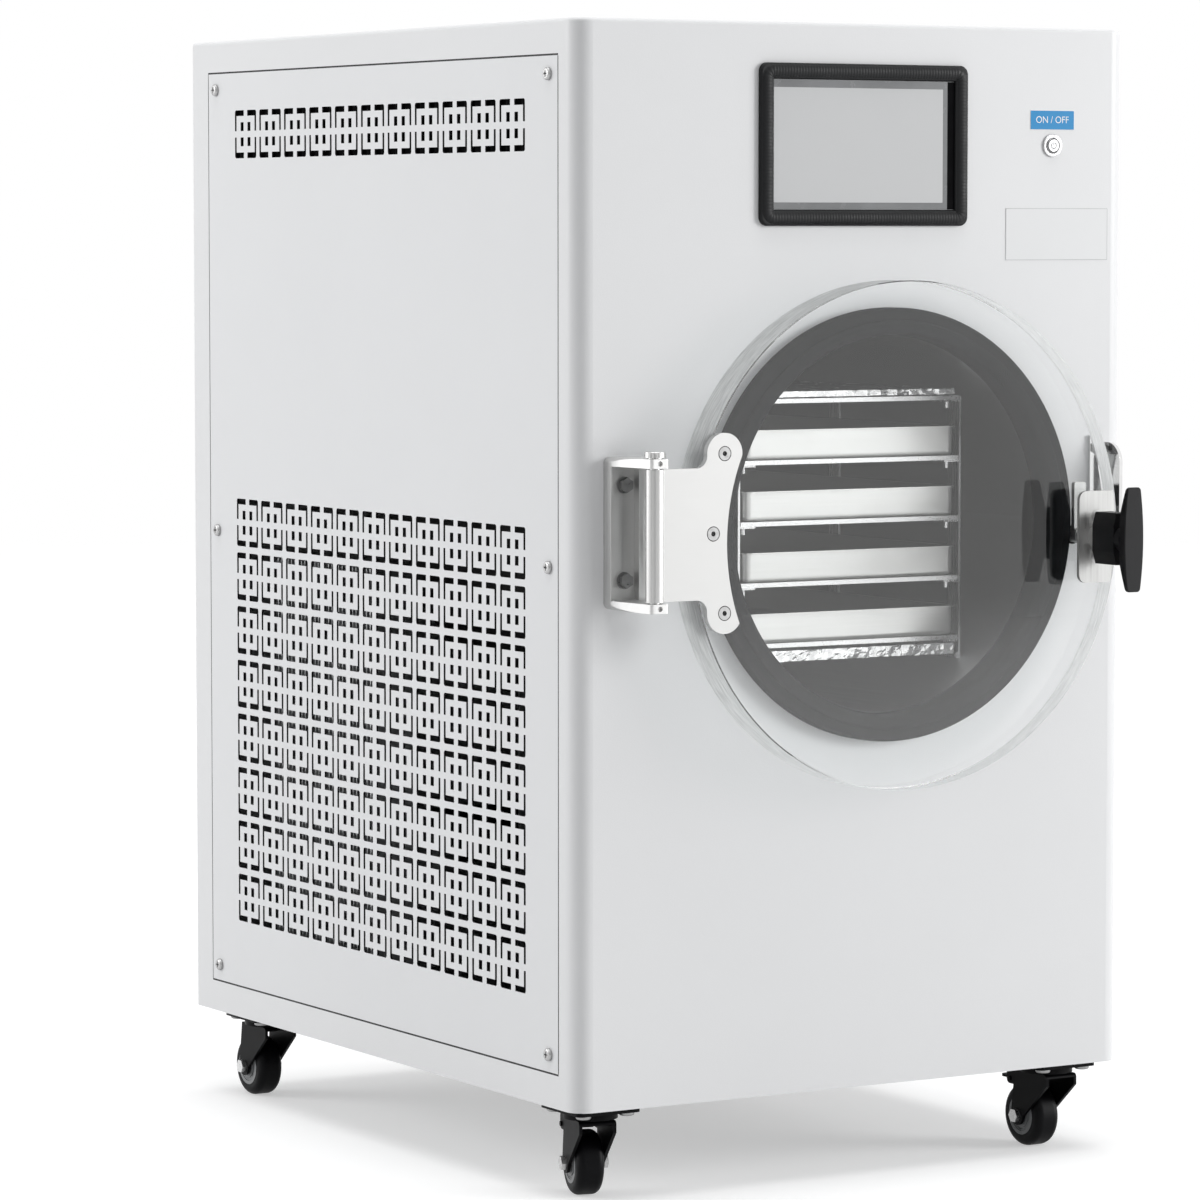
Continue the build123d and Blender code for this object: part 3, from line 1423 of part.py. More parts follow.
# Axial fan: a hub with a blind bore for the motor shaft and five pitched blades.
blade_span = fan_radius - fan_hub_radius / 2
with BuildPart() as fan_rotor:
    with Locations(Plane((fan_rotor_x, fan_y, fan_z), x_dir=(0, 1, 0), z_dir=(1, 0, 0))):
        Cylinder(fan_hub_radius, fan_hub_depth, align=(Align.CENTER, Align.CENTER, Align.MIN))
        with PolarLocations(fan_hub_radius / 2, fan_blades):
            with Locations(Location((0, 0, fan_hub_depth / 2), (fan_blade_pitch, 0, 0))):
                Box(
                    blade_span,
                    fan_blade_width,
                    fan_blade_thickness,
                    align=(Align.MIN, Align.CENTER, Align.CENTER),
                )
    with Locations(Plane((fan_rotor_x + fan_hub_depth, fan_y, fan_z), z_dir=(1, 0, 0))):
        Cylinder(
            motor_shaft_radius + hinge_fit,
            fan_hub_depth - fan_plate,
            align=(Align.CENTER, Align.CENTER, Align.MAX),
            mode=Mode.SUBTRACT,
        )
fan_rotor.part.label = "fan_rotor"
export_step(fan_rotor.part, "parts/fan_rotor.step")

# Control box under the cabinet top.
control_box_y = front_y + control_box_setback
with BuildPart() as control_box:
    with Locations((0, control_box_y, top_z - sheet)):
        Box(
            control_box_width,
            control_box_length,
            control_box_height,
            align=(Align.CENTER, Align.MIN, Align.MAX),
        )
    fillet(control_box.edges().filter_by(Axis.Z), control_box_round)
    with BuildSketch(Plane.XY.offset(top_z - sheet - control_box_height)):
        with Locations((0, control_box_y + control_box_length / 2)):
            with GridLocations(control_box_width / 6, 1, 5, 1):
                SlotOverall(control_box_length / 2, control_box_slot, rotation=90)
    extrude(amount=control_box_slot, mode=Mode.SUBTRACT)
control_box.part.label = "control_box"
export_step(control_box.part, "parts/control_box.step")

# Three-pin mains inlet on the rear panel.
inlet_z = base_z + inlet_rise
with BuildPart() as power_inlet:
    with BuildSketch(front_plane(rear_y)):
        with Locations((inlet_x, inlet_z)):
            RectangleRounded(inlet_flange_width, inlet_flange_height, inlet_flange_thickness)
    extrude(amount=-inlet_flange_thickness)
    with BuildSketch(front_plane(rear_y)):
        with Locations((inlet_x, inlet_z)):
            Rectangle(inlet_recess_width + 2 * inlet_wall, inlet_recess_height + 2 * inlet_wall)
    extrude(amount=inlet_body_depth)
    with BuildSketch(front_plane(rear_y + inlet_flange_thickness)) as recess:
        with Locations((inlet_x, inlet_z)):
            Rectangle(inlet_recess_width, inlet_recess_height)
        chamfer(recess.vertices().group_by(Axis.Y)[-1], inlet_recess_height / 4)
    extrude(amount=inlet_recess_depth, mode=Mode.SUBTRACT)
    with BuildSketch(front_plane(rear_y + inlet_flange_thickness - inlet_recess_depth)):
        with Locations(
            (inlet_x - inlet_pin_pitch, inlet_z - inlet_pin_width),
            (inlet_x, inlet_z + inlet_pin_width),
            (inlet_x + inlet_pin_pitch, inlet_z - inlet_pin_width),
        ):
            Rectangle(inlet_pin_width, inlet_pin_height)
    extrude(amount=-(inlet_recess_depth - inlet_flange_thickness))
power_inlet.part.label = "power_inlet"
export_step(power_inlet.part, "parts/power_inlet.step")

# Vacuum port: a flanged tube from the back of the chamber out through the rear panel.
port_end_y = rear_y + port_reach
with BuildPart() as vacuum_port:
    with BuildSketch(front_plane(chamber_end_y - chamber_back)):
        with Locations((port_x, port_z)):
            Circle(port_radius)
    extrude(amount=-(port_end_y - chamber_end_y + chamber_back))
    with BuildSketch(front_plane(port_end_y - port_flange_thickness)):
        with Locations((port_x, port_z)):
            Circle(port_flange_radius)
    extrude(amount=-port_flange_thickness)
    flange_rims = vacuum_port.edges().filter_by(GeomType.CIRCLE).sort_by(SortBy.RADIUS)[-2:]
    chamfer(flange_rims.sort_by(Axis.Y)[0], port_flange_thickness / 2)
    with BuildSketch(front_plane(chamber_end_y - chamber_back)):
        with Locations((port_x, port_z)):
            Circle(port_radius - port_wall)
    extrude(amount=-(port_end_y - chamber_end_y + chamber_back), mode=Mode.SUBTRACT)
vacuum_port.part.label = "vacuum_port"
export_step(vacuum_port.part, "parts/vacuum_port.step")

# Drain valve: a pipe from the chamber, a ball-valve body and a short outlet.
valve_front_y = rear_y + valve_gap
valve_end_y = valve_front_y + valve_body_length
outlet_end_y = valve_end_y + valve_outlet_length
drain_bore = drain_pipe_radius - drain_pipe_wall
with BuildPart() as drain_valve:
    with Locations(Plane((chamber_x, chamber_end_y - chamber_back, drain_z), z_dir=(0, 1, 0))):
        Cylinder(
            drain_pipe_radius,
            valve_end_y - chamber_end_y + chamber_back,
            align=(Align.CENTER, Align.CENTER, Align.MIN),
        )
    with BuildSketch(front_plane(valve_front_y)):
        with Locations((chamber_x, drain_z)):
            RegularPolygon(valve_body_radius, 6, major_radius=False)
    extrude(amount=-valve_body_length)
    body_ends = drain_valve.faces().filter_by(Axis.Y).sort_by(SortBy.AREA)[-2:]
    chamfer(body_ends.edges().filter_by(GeomType.LINE), valve_chamfer)
    with Locations(Plane((chamber_x, valve_end_y, drain_z), z_dir=(0, 1, 0))):
        Cylinder(
            valve_outlet_radius,
            valve_outlet_length,
            align=(Align.CENTER, Align.CENTER, Align.MIN),
        )
    with Locations((chamber_x, valve_front_y + valve_body_length / 2, drain_z)):
        Cylinder(
            valve_stem_radius,
            valve_body_radius + valve_stem_height,
            align=(Align.CENTER, Align.CENTER, Align.MIN),
        )
    with Locations(Plane((chamber_x, chamber_end_y - chamber_back, drain_z), z_dir=(0, 1, 0))):
        Cylinder(
            drain_bore,
            valve_front_y - chamber_end_y + chamber_back,
            align=(Align.CENTER, Align.CENTER, Align.MIN),
            mode=Mode.SUBTRACT,
        )
    with Locations(Plane((chamber_x, outlet_end_y, drain_z), z_dir=(0, 1, 0))):
        Cylinder(
            drain_bore,
            valve_outlet_length,
            align=(Align.CENTER, Align.CENTER, Align.MAX),
            mode=Mode.SUBTRACT,
        )
drain_valve.part.label = "drain_valve"
export_step(drain_valve.part, "parts/drain_valve.step")

# Lever of the drain valve, turning on the stem.
stem_y = valve_front_y + valve_body_length / 2
lever_z = drain_z + valve_body_radius + valve_stem_height - lever_thickness
with BuildPart() as drain_lever:
    with BuildSketch(Plane.XY.offset(lever_z)) as lever_outline:
        with Locations((chamber_x, stem_y)):
            Circle(lever_hub_radius)
            Rectangle(lever_length, lever_width, align=(Align.MIN, Align.CENTER))
        fillet(lever_outline.vertices().group_by(Axis.X)[-1], lever_width / 3)
        with Locations((chamber_x, stem_y)):
            Circle(valve_stem_radius + hinge_fit, mode=Mode.SUBTRACT)
    extrude(amount=lever_thickness)
drain_lever.part.label = "drain_lever"
export_step(drain_lever.part, "parts/drain_lever.step")

# ================================================================ casters
# One caster at the origin of its swivel, trailing towards +Y, is moved to each corner.
with BuildPart() as caster_plates:
    for x, y, swivel in casters.values():
        with BuildSketch(Plane.XY.offset(plate_bottom_z)):
            with Locations((x, y)):
                RectangleRounded(caster_plate_width, caster_plate_length, caster_plate_corner)
                with GridLocations(caster_bolt_spacing_x, caster_bolt_spacing_y, 2, 2):
                    Circle(caster_bolt_radius + screw_hole_clearance, mode=Mode.SUBTRACT)
        extrude(amount=caster_plate_thickness)
        with Locations((x, y, plate_bottom_z)):
            Cylinder(race_radius, race_height, align=(Align.CENTER, Align.CENTER, Align.MAX))
        with Locations((x, y, crown_top_z - fork_crown - race_gap)):
            Cylinder(
                king_pin_radius,
                plate_bottom_z - crown_top_z + fork_crown + race_gap,
                align=(Align.CENTER, Align.CENTER, Align.MIN),
            )
        with Locations((x, y, crown_top_z - fork_crown - race_gap)):
            Cylinder(
                king_pin_head_radius,
                king_pin_head_height,
                align=(Align.CENTER, Align.CENTER, Align.MAX),
            )
caster_plates.part.label = "caster_plates"
export_step(caster_plates.part, "parts/caster_plates.step")

# Swivel fork: a crown on the king pin and two legs for the axle.
with BuildPart() as fork:
    with BuildSketch(side_plane(-fork_outer / 2)) as leg_profile:
        with BuildLine():
            Polyline(
                (-fork_top_front, crown_top_z),
                (fork_top_rear, crown_top_z),
                (caster_trail + fork_tip_radius, axle_z),
                (caster_trail - fork_tip_radius, axle_z),
                (-fork_top_front, crown_top_z - 3 * fork_crown),
                close=True,
            )
        make_face()
        fillet(leg_profile.vertices().group_by(Axis.Y)[-1].sort_by(Axis.X)[0], fork_crown)
        with Locations((caster_trail, axle_z)):
            Circle(fork_tip_radius)
    extrude(amount=fork_outer)
    with Locations((0, 0, crown_top_z - fork_crown)):
        Box(
            fork_inner,
            4 * fork_top_rear,
            crown_top_z,
            align=(Align.CENTER, Align.CENTER, Align.MAX),
            mode=Mode.SUBTRACT,
        )
        Cylinder(
            king_pin_radius + king_pin_fit,
            4 * fork_crown,
            mode=Mode.SUBTRACT,
        )
    with Locations(Plane((0, caster_trail, axle_z), z_dir=(1, 0, 0))):
        Cylinder(axle_radius + axle_fit, fork_outer, mode=Mode.SUBTRACT)

# The front forks carry the brake pivot between two ears.
brake_y = brake_pivot_back
brake_z = crown_top_z - brake_pivot_drop
with BuildPart() as brake_fork:
    add(fork.part)
    for side in (-1, 1):
        with BuildSketch(side_plane(side * fork_outer / 2)) as ear:
            with Locations((brake_y + brake_hub_radius, crown_top_z)):
                Rectangle(
                    brake_y + brake_hub_radius,
                    brake_pivot_drop + brake_hub_radius,
                    align=(Align.MAX, Align.MAX),
                )
            fillet(ear.vertices().group_by(Axis.X)[-1], brake_hub_radius)
        extrude(amount=-side * fork_leg)
    with Locations(Plane((0, brake_y, brake_z), z_dir=(1, 0, 0))):
        Cylinder(brake_pivot_radius, fork_outer + fork_leg)

# Axle bolt across the legs of a fork.
with BuildPart() as axle:
    with Locations(Plane((0, caster_trail, axle_z), z_dir=(1, 0, 0))):
        Cylinder(axle_radius, fork_outer)
    for side in (-1, 1):
        with BuildSketch(side_plane(side * fork_outer / 2)):
            with Locations((caster_trail, axle_z)):
                RegularPolygon(axle_head_across_flats / 2, 6, major_radius=False)
        extrude(amount=side * axle_head_height)

# Tyre and hub of the wheel, round the axle.
with BuildPart() as tyre:
    with BuildSketch(Plane.XY.offset(axle_z)) as tyre_profile:
        with Locations((0, caster_trail - wheel_hub_radius)):
            Rectangle(wheel_width, wheel_radius - wheel_hub_radius, align=(Align.CENTER, Align.MAX))
        fillet(tyre_profile.vertices().group_by(Axis.Y)[0], wheel_shoulder)
    revolve(axis=Axis((0, caster_trail, axle_z), (1, 0, 0)), revolution_arc=360)

with BuildPart() as hub:
    with Locations(Plane((0, caster_trail, axle_z), z_dir=(1, 0, 0))):
        Cylinder(wheel_hub_radius, wheel_width)
    for side in (-1, 1):
        with BuildSketch(side_plane(side * wheel_width / 2)):
            with Locations((caster_trail, axle_z)):
                Circle(wheel_hub_radius - wheel_hub_rim)
                Circle(axle_head_across_flats, mode=Mode.SUBTRACT)
        extrude(amount=-side * wheel_hub_recess, mode=Mode.SUBTRACT)
    with Locations(Plane((0, caster_trail, axle_z), z_dir=(1, 0, 0))):
        Cylinder(axle_radius + axle_fit, wheel_width, mode=Mode.SUBTRACT)

# Brake pedal on the trailing side of a front fork, at rest level.
with BuildPart() as pedal:
    with BuildSketch(side_plane(-brake_width / 2)):
        with Locations((brake_y, brake_z)):
            Circle(brake_hub_radius)
            Rectangle(brake_length, brake_thickness, align=(Align.MIN, Align.CENTER))
            Circle(brake_pivot_radius + hinge_fit, mode=Mode.SUBTRACT)
    extrude(amount=brake_width)
    fillet(pedal.edges().filter_by(Axis.Z).sort_by(Axis.Y)[-2:], brake_hub_radius)

for corner, (x, y, swivel) in casters.items():
    pieces = {
        "caster_fork": fork.part if corner.startswith("rear") else brake_fork.part,
        "caster_axle": axle.part,
        "caster_tyre": tyre.part,
        "caster_hub": hub.part,
    }
    if corner.startswith("front"):
        pieces["brake_pedal"] = pedal.part
    for piece, shape in pieces.items():
        with BuildPart() as placed:
            with Locations(Location((x, y, 0), (0, 0, swivel))):
                add(shape)
        placed.part.label = f"{piece}_{corner}"
        export_step(placed.part, f"parts/{piece}_{corner}.step")
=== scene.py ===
import math

import bmesh
import bpy
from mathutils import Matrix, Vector, noise


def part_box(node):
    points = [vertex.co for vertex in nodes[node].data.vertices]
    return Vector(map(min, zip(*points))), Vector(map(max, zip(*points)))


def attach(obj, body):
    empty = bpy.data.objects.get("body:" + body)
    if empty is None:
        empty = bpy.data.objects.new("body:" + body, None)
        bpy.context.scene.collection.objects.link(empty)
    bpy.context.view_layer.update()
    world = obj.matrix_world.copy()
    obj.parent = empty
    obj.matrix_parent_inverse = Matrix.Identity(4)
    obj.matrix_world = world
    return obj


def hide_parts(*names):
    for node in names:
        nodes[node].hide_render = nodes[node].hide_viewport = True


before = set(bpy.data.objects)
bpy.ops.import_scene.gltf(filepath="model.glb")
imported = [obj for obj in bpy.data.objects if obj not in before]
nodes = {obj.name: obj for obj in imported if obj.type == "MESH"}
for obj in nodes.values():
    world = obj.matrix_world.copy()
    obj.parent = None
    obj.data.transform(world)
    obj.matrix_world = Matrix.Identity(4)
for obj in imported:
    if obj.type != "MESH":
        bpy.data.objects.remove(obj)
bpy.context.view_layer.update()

scene = bpy.context.scene
MM = 0.001
MICRON = 0.000001
ALONG_X = Vector((1, 0, 0))
ALONG_Y = Vector((0, 1, 0))
CORNERS = ("front_left", "front_right", "rear_left", "rear_right")


# ------------------------------------------------------------------ materials
NOISE_LOW = 0.3  # the span of a noise value that a finish makes use of
NOISE_HIGH = 0.7
FACE_SHARE = 0.5  # a surface turned less than this to an axis is an edge
NO_BOUNCE = 0.5  # a ray of less diffuse depth has met nothing matt

# grain: blotches to a metre, and how many finer layers they carry
PAINT_CLOUDS = 3.0
PAINT_WEAR = 14.0
PLASTIC_CLOUDS = 20.0
PLASTIC_WEAR = 60.0
SOFT_DETAIL = 2.0
STREAK_DETAIL = 3.0

# darkest and lightest share of the colour, and least and most share of the roughness
PAINT_TONES = (0.985, 1.01)
PAINT_SHEEN = (0.92, 1.1)
PLASTIC_TONES = (0.85, 1.15)
PLASTIC_SHEEN = (0.85, 1.15)
METAL_SHEEN = (0.75, 1.3)


def set_socket(node, name, value):
    node.inputs[name].default_value = value


def maths(tree, operation, first, second=None):
    """The output of a maths node on one or two values, each a number or an output."""
    node = tree.nodes.new("ShaderNodeMath")
    node.operation = operation
    for index, value in enumerate((first, second)):
        if isinstance(value, bpy.types.NodeSocket):
            tree.links.new(value, node.inputs[index])
        elif value is not None:
            node.inputs[index].default_value = value
    return node.outputs[0]


def mixed(tree, share, first, second):
    """The output of one shader turning into another as the share goes from 0 to 1."""
    node = tree.nodes.new("ShaderNodeMixShader")
    if isinstance(share, bpy.types.NodeSocket):
        tree.links.new(share, node.inputs["Fac"])
    else:
        node.inputs["Fac"].default_value = share
    tree.links.new(first, node.inputs[1])
    tree.links.new(second, node.inputs[2])
    return node.outputs["Shader"]


class Finish:
    """A node material on object coordinates, which are the shared frame in metres."""

    def __init__(self, name):
        self.material = bpy.data.materials.new(name)
        self.material.use_nodes = True
        self.tree = self.material.node_tree
        self.tree.nodes.clear()
        self.output = self.node("OutputMaterial")
        self.shader = self.node("BsdfPrincipled")
        self.place = self.node("TexCoord")
        self.link(self.shader, "BSDF", self.output, "Surface")

    def node(self, kind):
        return self.tree.nodes.new("ShaderNode" + kind)

    def link(self, source, source_socket, target, target_socket):
        self.tree.links.new(source.outputs[source_socket], target.inputs[target_socket])

    def grain(self, scale, stretch=(1, 1, 1), detail=4.0, roughness=0.6):
        """Noise over the surface, finer along the axes with the larger numbers."""
        mapping = self.node("Mapping")
        set_socket(mapping, "Scale", stretch)
        self.link(self.place, "Object", mapping, "Vector")
        texture = self.node("TexNoise")
        set_socket(texture, "Scale", scale)
        set_socket(texture, "Detail", detail)
        set_socket(texture, "Roughness", roughness)
        self.link(mapping, "Vector", texture, "Vector")
        return texture

    def rough(self, texture, roughness, shares):
        """A texture's value becomes the roughness, between two shares of the number."""
        span = self.node("MapRange")
        set_socket(span, "From Min", NOISE_LOW)
        set_socket(span, "From Max", NOISE_HIGH)
        set_socket(span, "To Min", roughness * shares[0])
        set_socket(span, "To Max", roughness * shares[1])
        self.link(texture, "Fac", span, "Value")
        self.link(span, "Result", self.shader, "Roughness")

    def ramp(self, texture, dark, light, source="Fac"):
        """A texture's value becomes a colour between dark and light."""
        ramp = self.node("ValToRGB")
        for element, position, colour in zip(
            ramp.color_ramp.elements, (NOISE_LOW, NOISE_HIGH), (dark, light)
        ):
            element.position = position
            element.color = (*colour, 1)
        self.link(texture, source, ramp, "Fac")
        return ramp

    def tint(self, texture, dark, light, source="Fac"):
        """A texture's value becomes the base colour between dark and light."""
        ramp = self.ramp(texture, dark, light, source)
        self.link(ramp, "Color", self.shader, "Base Color")

    def relief(self, texture, depth, source="Fac"):
        """A texture's value becomes a bump of that depth in metres."""
        bump = self.node("Bump")
        set_socket(bump, "Distance", depth)
        set_socket(bump, "Strength", 1.0)
        self.link(texture, source, bump, "Height")
        if self.shader.inputs["Normal"].is_linked:
            earlier = self.shader.inputs["Normal"].links[0].from_node
            self.link(earlier, "Normal", bump, "Normal")
        self.link(bump, "Normal", self.shader, "Normal")

    def on_face(self, axis):
        """One where the surface faces along that axis, nought on its edges."""
        facing = self.node("SeparateXYZ")
        self.link(self.place, "Normal", facing, "Vector")
        turned = maths(self.tree, "ABSOLUTE", facing.outputs[axis])
        return maths(self.tree, "GREATER_THAN", turned, FACE_SHARE)


def shades(colour, shares):
    """The colour made darker and lighter by two shares."""
    return [tuple(min(1.0, channel * share) for channel in colour) for share in shares]


def paint_coat(name, colour, roughness=0.42, peel=60, peel_scale=900, specular=0.45):
    """A sprayed coat with a peel so many microns deep."""
    finish = Finish(name)
    finish.tint(finish.grain(PAINT_CLOUDS), *shades(colour, PAINT_TONES))
    finish.rough(finish.grain(PAINT_WEAR), roughness, PAINT_SHEEN)
    finish.relief(finish.grain(peel_scale, detail=SOFT_DETAIL), peel * MICRON)
    set_socket(finish.shader, "Specular IOR Level", specular)
    return finish


def painted(name, colour, **coat):
    return paint_coat(name, colour, **coat).material


def moulded(name, colour, roughness=0.45, depth=40, grain_scale=1400, specular=0.5):
    """Plastic or rubber with a mould grain so many microns deep."""
    finish = Finish(name)
    finish.tint(finish.grain(PLASTIC_CLOUDS), *shades(colour, PLASTIC_TONES))
    finish.rough(finish.grain(PLASTIC_WEAR), roughness, PLASTIC_SHEEN)
    finish.relief(finish.grain(grain_scale, detail=SOFT_DETAIL), depth * MICRON)
    set_socket(finish.shader, "Specular IOR Level", specular)
    return finish.material


def brushed(name, colour, roughness=0.3, along=(6, 900, 900), contrast=0.06, depth=10,
            sheen=METAL_SHEEN):
    """Metal with streaks: so many to a metre on each axis, so many microns deep."""
    finish = Finish(name)
    streak = finish.grain(1.0, stretch=along, detail=STREAK_DETAIL)
    finish.tint(streak, *shades(colour, (1 - contrast, 1 + contrast)))
    finish.rough(streak, roughness, sheen)
    finish.relief(streak, depth * MICRON)
    set_socket(finish.shader, "Metallic", 1.0)
    return finish.material


BLASTED = (300, 300, 300)
UPRIGHT = (900, 900, 12)
DEPTHWAYS = (900, 12, 900)

white_paint = painted("white_paint", (0.80, 0.803, 0.81))
grey_coat = painted("grey_coat", (0.42, 0.43, 0.44), roughness=0.5)
black_enamel = painted("black_enamel", (0.02, 0.02, 0.021), roughness=0.25)
caster_paint = painted("caster_paint", (0.003, 0.003, 0.0036), peel=20, specular=0.07)
red_dip = painted("red_dip", (0.5, 0.03, 0.02), roughness=0.4)
blue_print = painted("blue_print", (0.006, 0.25, 0.56), roughness=0.5, peel=10)
label_film = painted("label_film", (0.79, 0.795, 0.80), roughness=0.35, peel=10)
display_lit = painted(
    "display_lit", (0.60, 0.605, 0.61), roughness=0.25, peel=2, peel_scale=3000
)

zinc = brushed("zinc", (0.62, 0.62, 0.62), 0.28, BLASTED)
screw_steel = brushed("screw_steel", (0.42, 0.42, 0.42), 0.36, BLASTED)
bolt_steel = brushed("bolt_steel", (0.30, 0.30, 0.30), 0.34, BLASTED)
satin_steel = brushed("satin_steel", (0.62, 0.62, 0.615), 0.28, (900, 900, 10), 0.04)
bracket_steel = brushed(
    "bracket_steel", (0.59, 0.59, 0.585), 0.46, (900, 900, 10), 0.05
)
leaf_steel = brushed(
    "leaf_steel", (0.54, 0.54, 0.535), 0.36, (25, 1400, 1400), 0.008, 1, (0.9, 1.1)
)
plate_steel = brushed("plate_steel", (0.40, 0.40, 0.395), 0.5, UPRIGHT, 0.012, 3)
dark_steel = brushed("dark_steel", (0.30, 0.302, 0.306), 0.42, (900, 8, 900), 0.08)
port_steel = brushed("port_steel", (0.55, 0.55, 0.56), 0.3, (900, 20, 900))
chrome = brushed("chrome", (0.80, 0.80, 0.80), 0.08, (200, 200, 200), 0.02, 2)
rack_steel = brushed("rack_steel", (0.62, 0.62, 0.62), 0.25, UPRIGHT)
tray_steel = brushed(
    "tray_steel", (0.56, 0.56, 0.55), 0.34, (10, 900, 900), 0.03, 6, (0.86, 1.14)
)
shelf_metal = brushed("shelf_metal", (0.68, 0.68, 0.68), 0.3, DEPTHWAYS)
copper = brushed("copper", (0.72, 0.38, 0.24), 0.3, BLASTED, 0.15)
fin_metal = brushed("fin_metal", (0.78, 0.79, 0.80), 0.35, (900, 900, 20), 0.08)
brass = brushed("brass", (0.62, 0.50, 0.25), 0.3, BLASTED, 0.1)
nickel = brushed("nickel", (0.52, 0.52, 0.525), 0.3, (250, 250, 250), 0.03)

silicone = moulded("silicone", (0.012, 0.0125, 0.0135), 0.6, depth=0.5, specular=0.0)
black_plastic = moulded("black_plastic", (0.008, 0.008, 0.009), depth=20, specular=0.25)
handle_black = moulded("handle_black", (0.005, 0.005, 0.006), depth=10, specular=0.22)
trim_rubber = moulded(
    "trim_rubber", (0.009, 0.0095, 0.0105), 0.5, depth=30, specular=0.22
)
filter_black = moulded(
    "filter_black", (0.004, 0.004, 0.0045), 0.9, depth=50, grain_scale=900, specular=0.05
)
foam = moulded("foam", (0.03, 0.03, 0.031), 0.8, depth=400, grain_scale=400)
tyre_rubber = moulded(
    "tyre_rubber", (0.003, 0.003, 0.0038), depth=30, grain_scale=700, specular=0.1
)
hub_nylon = moulded("hub_nylon", (0.24, 0.245, 0.25))
white_print = moulded("white_print", (0.86, 0.86, 0.86), 0.5, depth=10)
grey_print = moulded("grey_print", (0.50, 0.505, 0.51), 0.5, depth=10)
display_frame = moulded("display_frame", (0.20, 0.205, 0.21), 0.25, depth=5)
flag_cloth = moulded("flag_cloth", (0.05, 0.05, 0.052), 0.9)


FOIL_CREASES = 130.0  # to a metre
FOIL_CRUMPLES = 260.0
FOIL_WEAR = 60.0
FOIL_DARK = (0.74, 0.74, 0.74)
FOIL_LIGHT = (0.93, 0.93, 0.93)
FOIL_SHEEN = (0.14, 0.3)
CREASE_DEPTH = 1200 * MICRON
CRUMPLE_DEPTH = 600 * MICRON
ACRYLIC_WEAR = 40.0
ACRYLIC_HAZE = 0.012
ACRYLIC_WAVES = 8.0
WAVE_DEPTH = 20 * MICRON
SAW_MARKS = (60, 700, 60)
SAWN_DARK = (0.50, 0.51, 0.51)
SAWN_LIGHT = (0.80, 0.81, 0.81)
SAWN_GLOW = 0.5  # the share of the sawn edge's light that comes from within


def foil_finish():
    """Bright foil, creased in cells and crumpled finely between them."""
    finish = Finish("foil")
    crease = finish.node("TexVoronoi")
    set_socket(crease, "Scale", FOIL_CREASES)
    finish.link(finish.place, "Object", crease, "Vector")
    finish.tint(crease, FOIL_DARK, FOIL_LIGHT, "Distance")
    finish.rough(finish.grain(FOIL_WEAR), 1.0, FOIL_SHEEN)
    finish.relief(crease, CREASE_DEPTH, "Distance")
    finish.relief(finish.grain(FOIL_CRUMPLES), CRUMPLE_DEPTH)
    set_socket(finish.shader, "Metallic", 1.0)
    return finish.material


def acrylic_finish():
    """Clear acrylic with a sawn, cloudy edge; shadow and diffuse rays pass through it."""
    finish = Finish("clear_acrylic")
    tree = finish.tree
    set_socket(finish.shader, "Base Color", (0.985, 0.992, 0.992, 1))
    set_socket(finish.shader, "Transmission Weight", 1.0)
    set_socket(finish.shader, "IOR", 1.58)
    finish.rough(finish.grain(ACRYLIC_WEAR), ACRYLIC_HAZE, (0, 1))
    finish.relief(finish.grain(ACRYLIC_WAVES), WAVE_DEPTH)

    saw_marks = finish.grain(1.0, stretch=SAW_MARKS, detail=STREAK_DETAIL)
    tone = finish.ramp(saw_marks, SAWN_DARK, SAWN_LIGHT)
    cloudy = finish.node("BsdfPrincipled")
    finish.link(tone, "Color", cloudy, "Base Color")
    set_socket(cloudy, "Roughness", 0.3)
    set_socket(cloudy, "Transmission Weight", 0.5)
    set_socket(cloudy, "IOR", 1.49)
    glow = finish.node("BsdfTranslucent")
    finish.link(tone, "Color", glow, "Color")
    rim = mixed(tree, SAWN_GLOW, cloudy.outputs["BSDF"], glow.outputs["BSDF"])
    body = mixed(tree, finish.on_face("Y"), rim, finish.shader.outputs["BSDF"])

    path = finish.node("LightPath")
    through = finish.node("BsdfTransparent")
    set_socket(through, "Color", (0.94, 0.95, 0.95, 1))
    unseen = maths(
        tree, "MAXIMUM", path.outputs["Is Shadow Ray"], path.outputs["Is Diffuse Ray"]
    )
    either = mixed(tree, unseen, body, through.outputs["BSDF"])
    tree.links.new(either, finish.output.inputs["Surface"])
    return finish.material


def panel_finish_with_slot_shade():
    """White paint with painted shade on every face not turned along x, so that the punched slots
    read black.
    """
    finish = paint_coat("panel_paint_and_slot_shade", (0.785, 0.79, 0.80))
    paint = finish.shader.inputs["Base Color"].links[0].from_socket
    slot_shade_pick = finish.node("MixRGB")
    # near-black painted shade on the slot walls and the panel's rims
    slot_shade_pick.inputs["Color1"].default_value = (0.008, 0.008, 0.009, 1)
    finish.tree.links.new(paint, slot_shade_pick.inputs["Color2"])
    finish.tree.links.new(finish.on_face("X"), slot_shade_pick.inputs["Fac"])
    finish.link(slot_shade_pick, "Color", finish.shader, "Base Color")
    return finish.material


panel_paint_and_slot_shade = panel_finish_with_slot_shade()
foil = foil_finish()
acrylic = acrylic_finish()

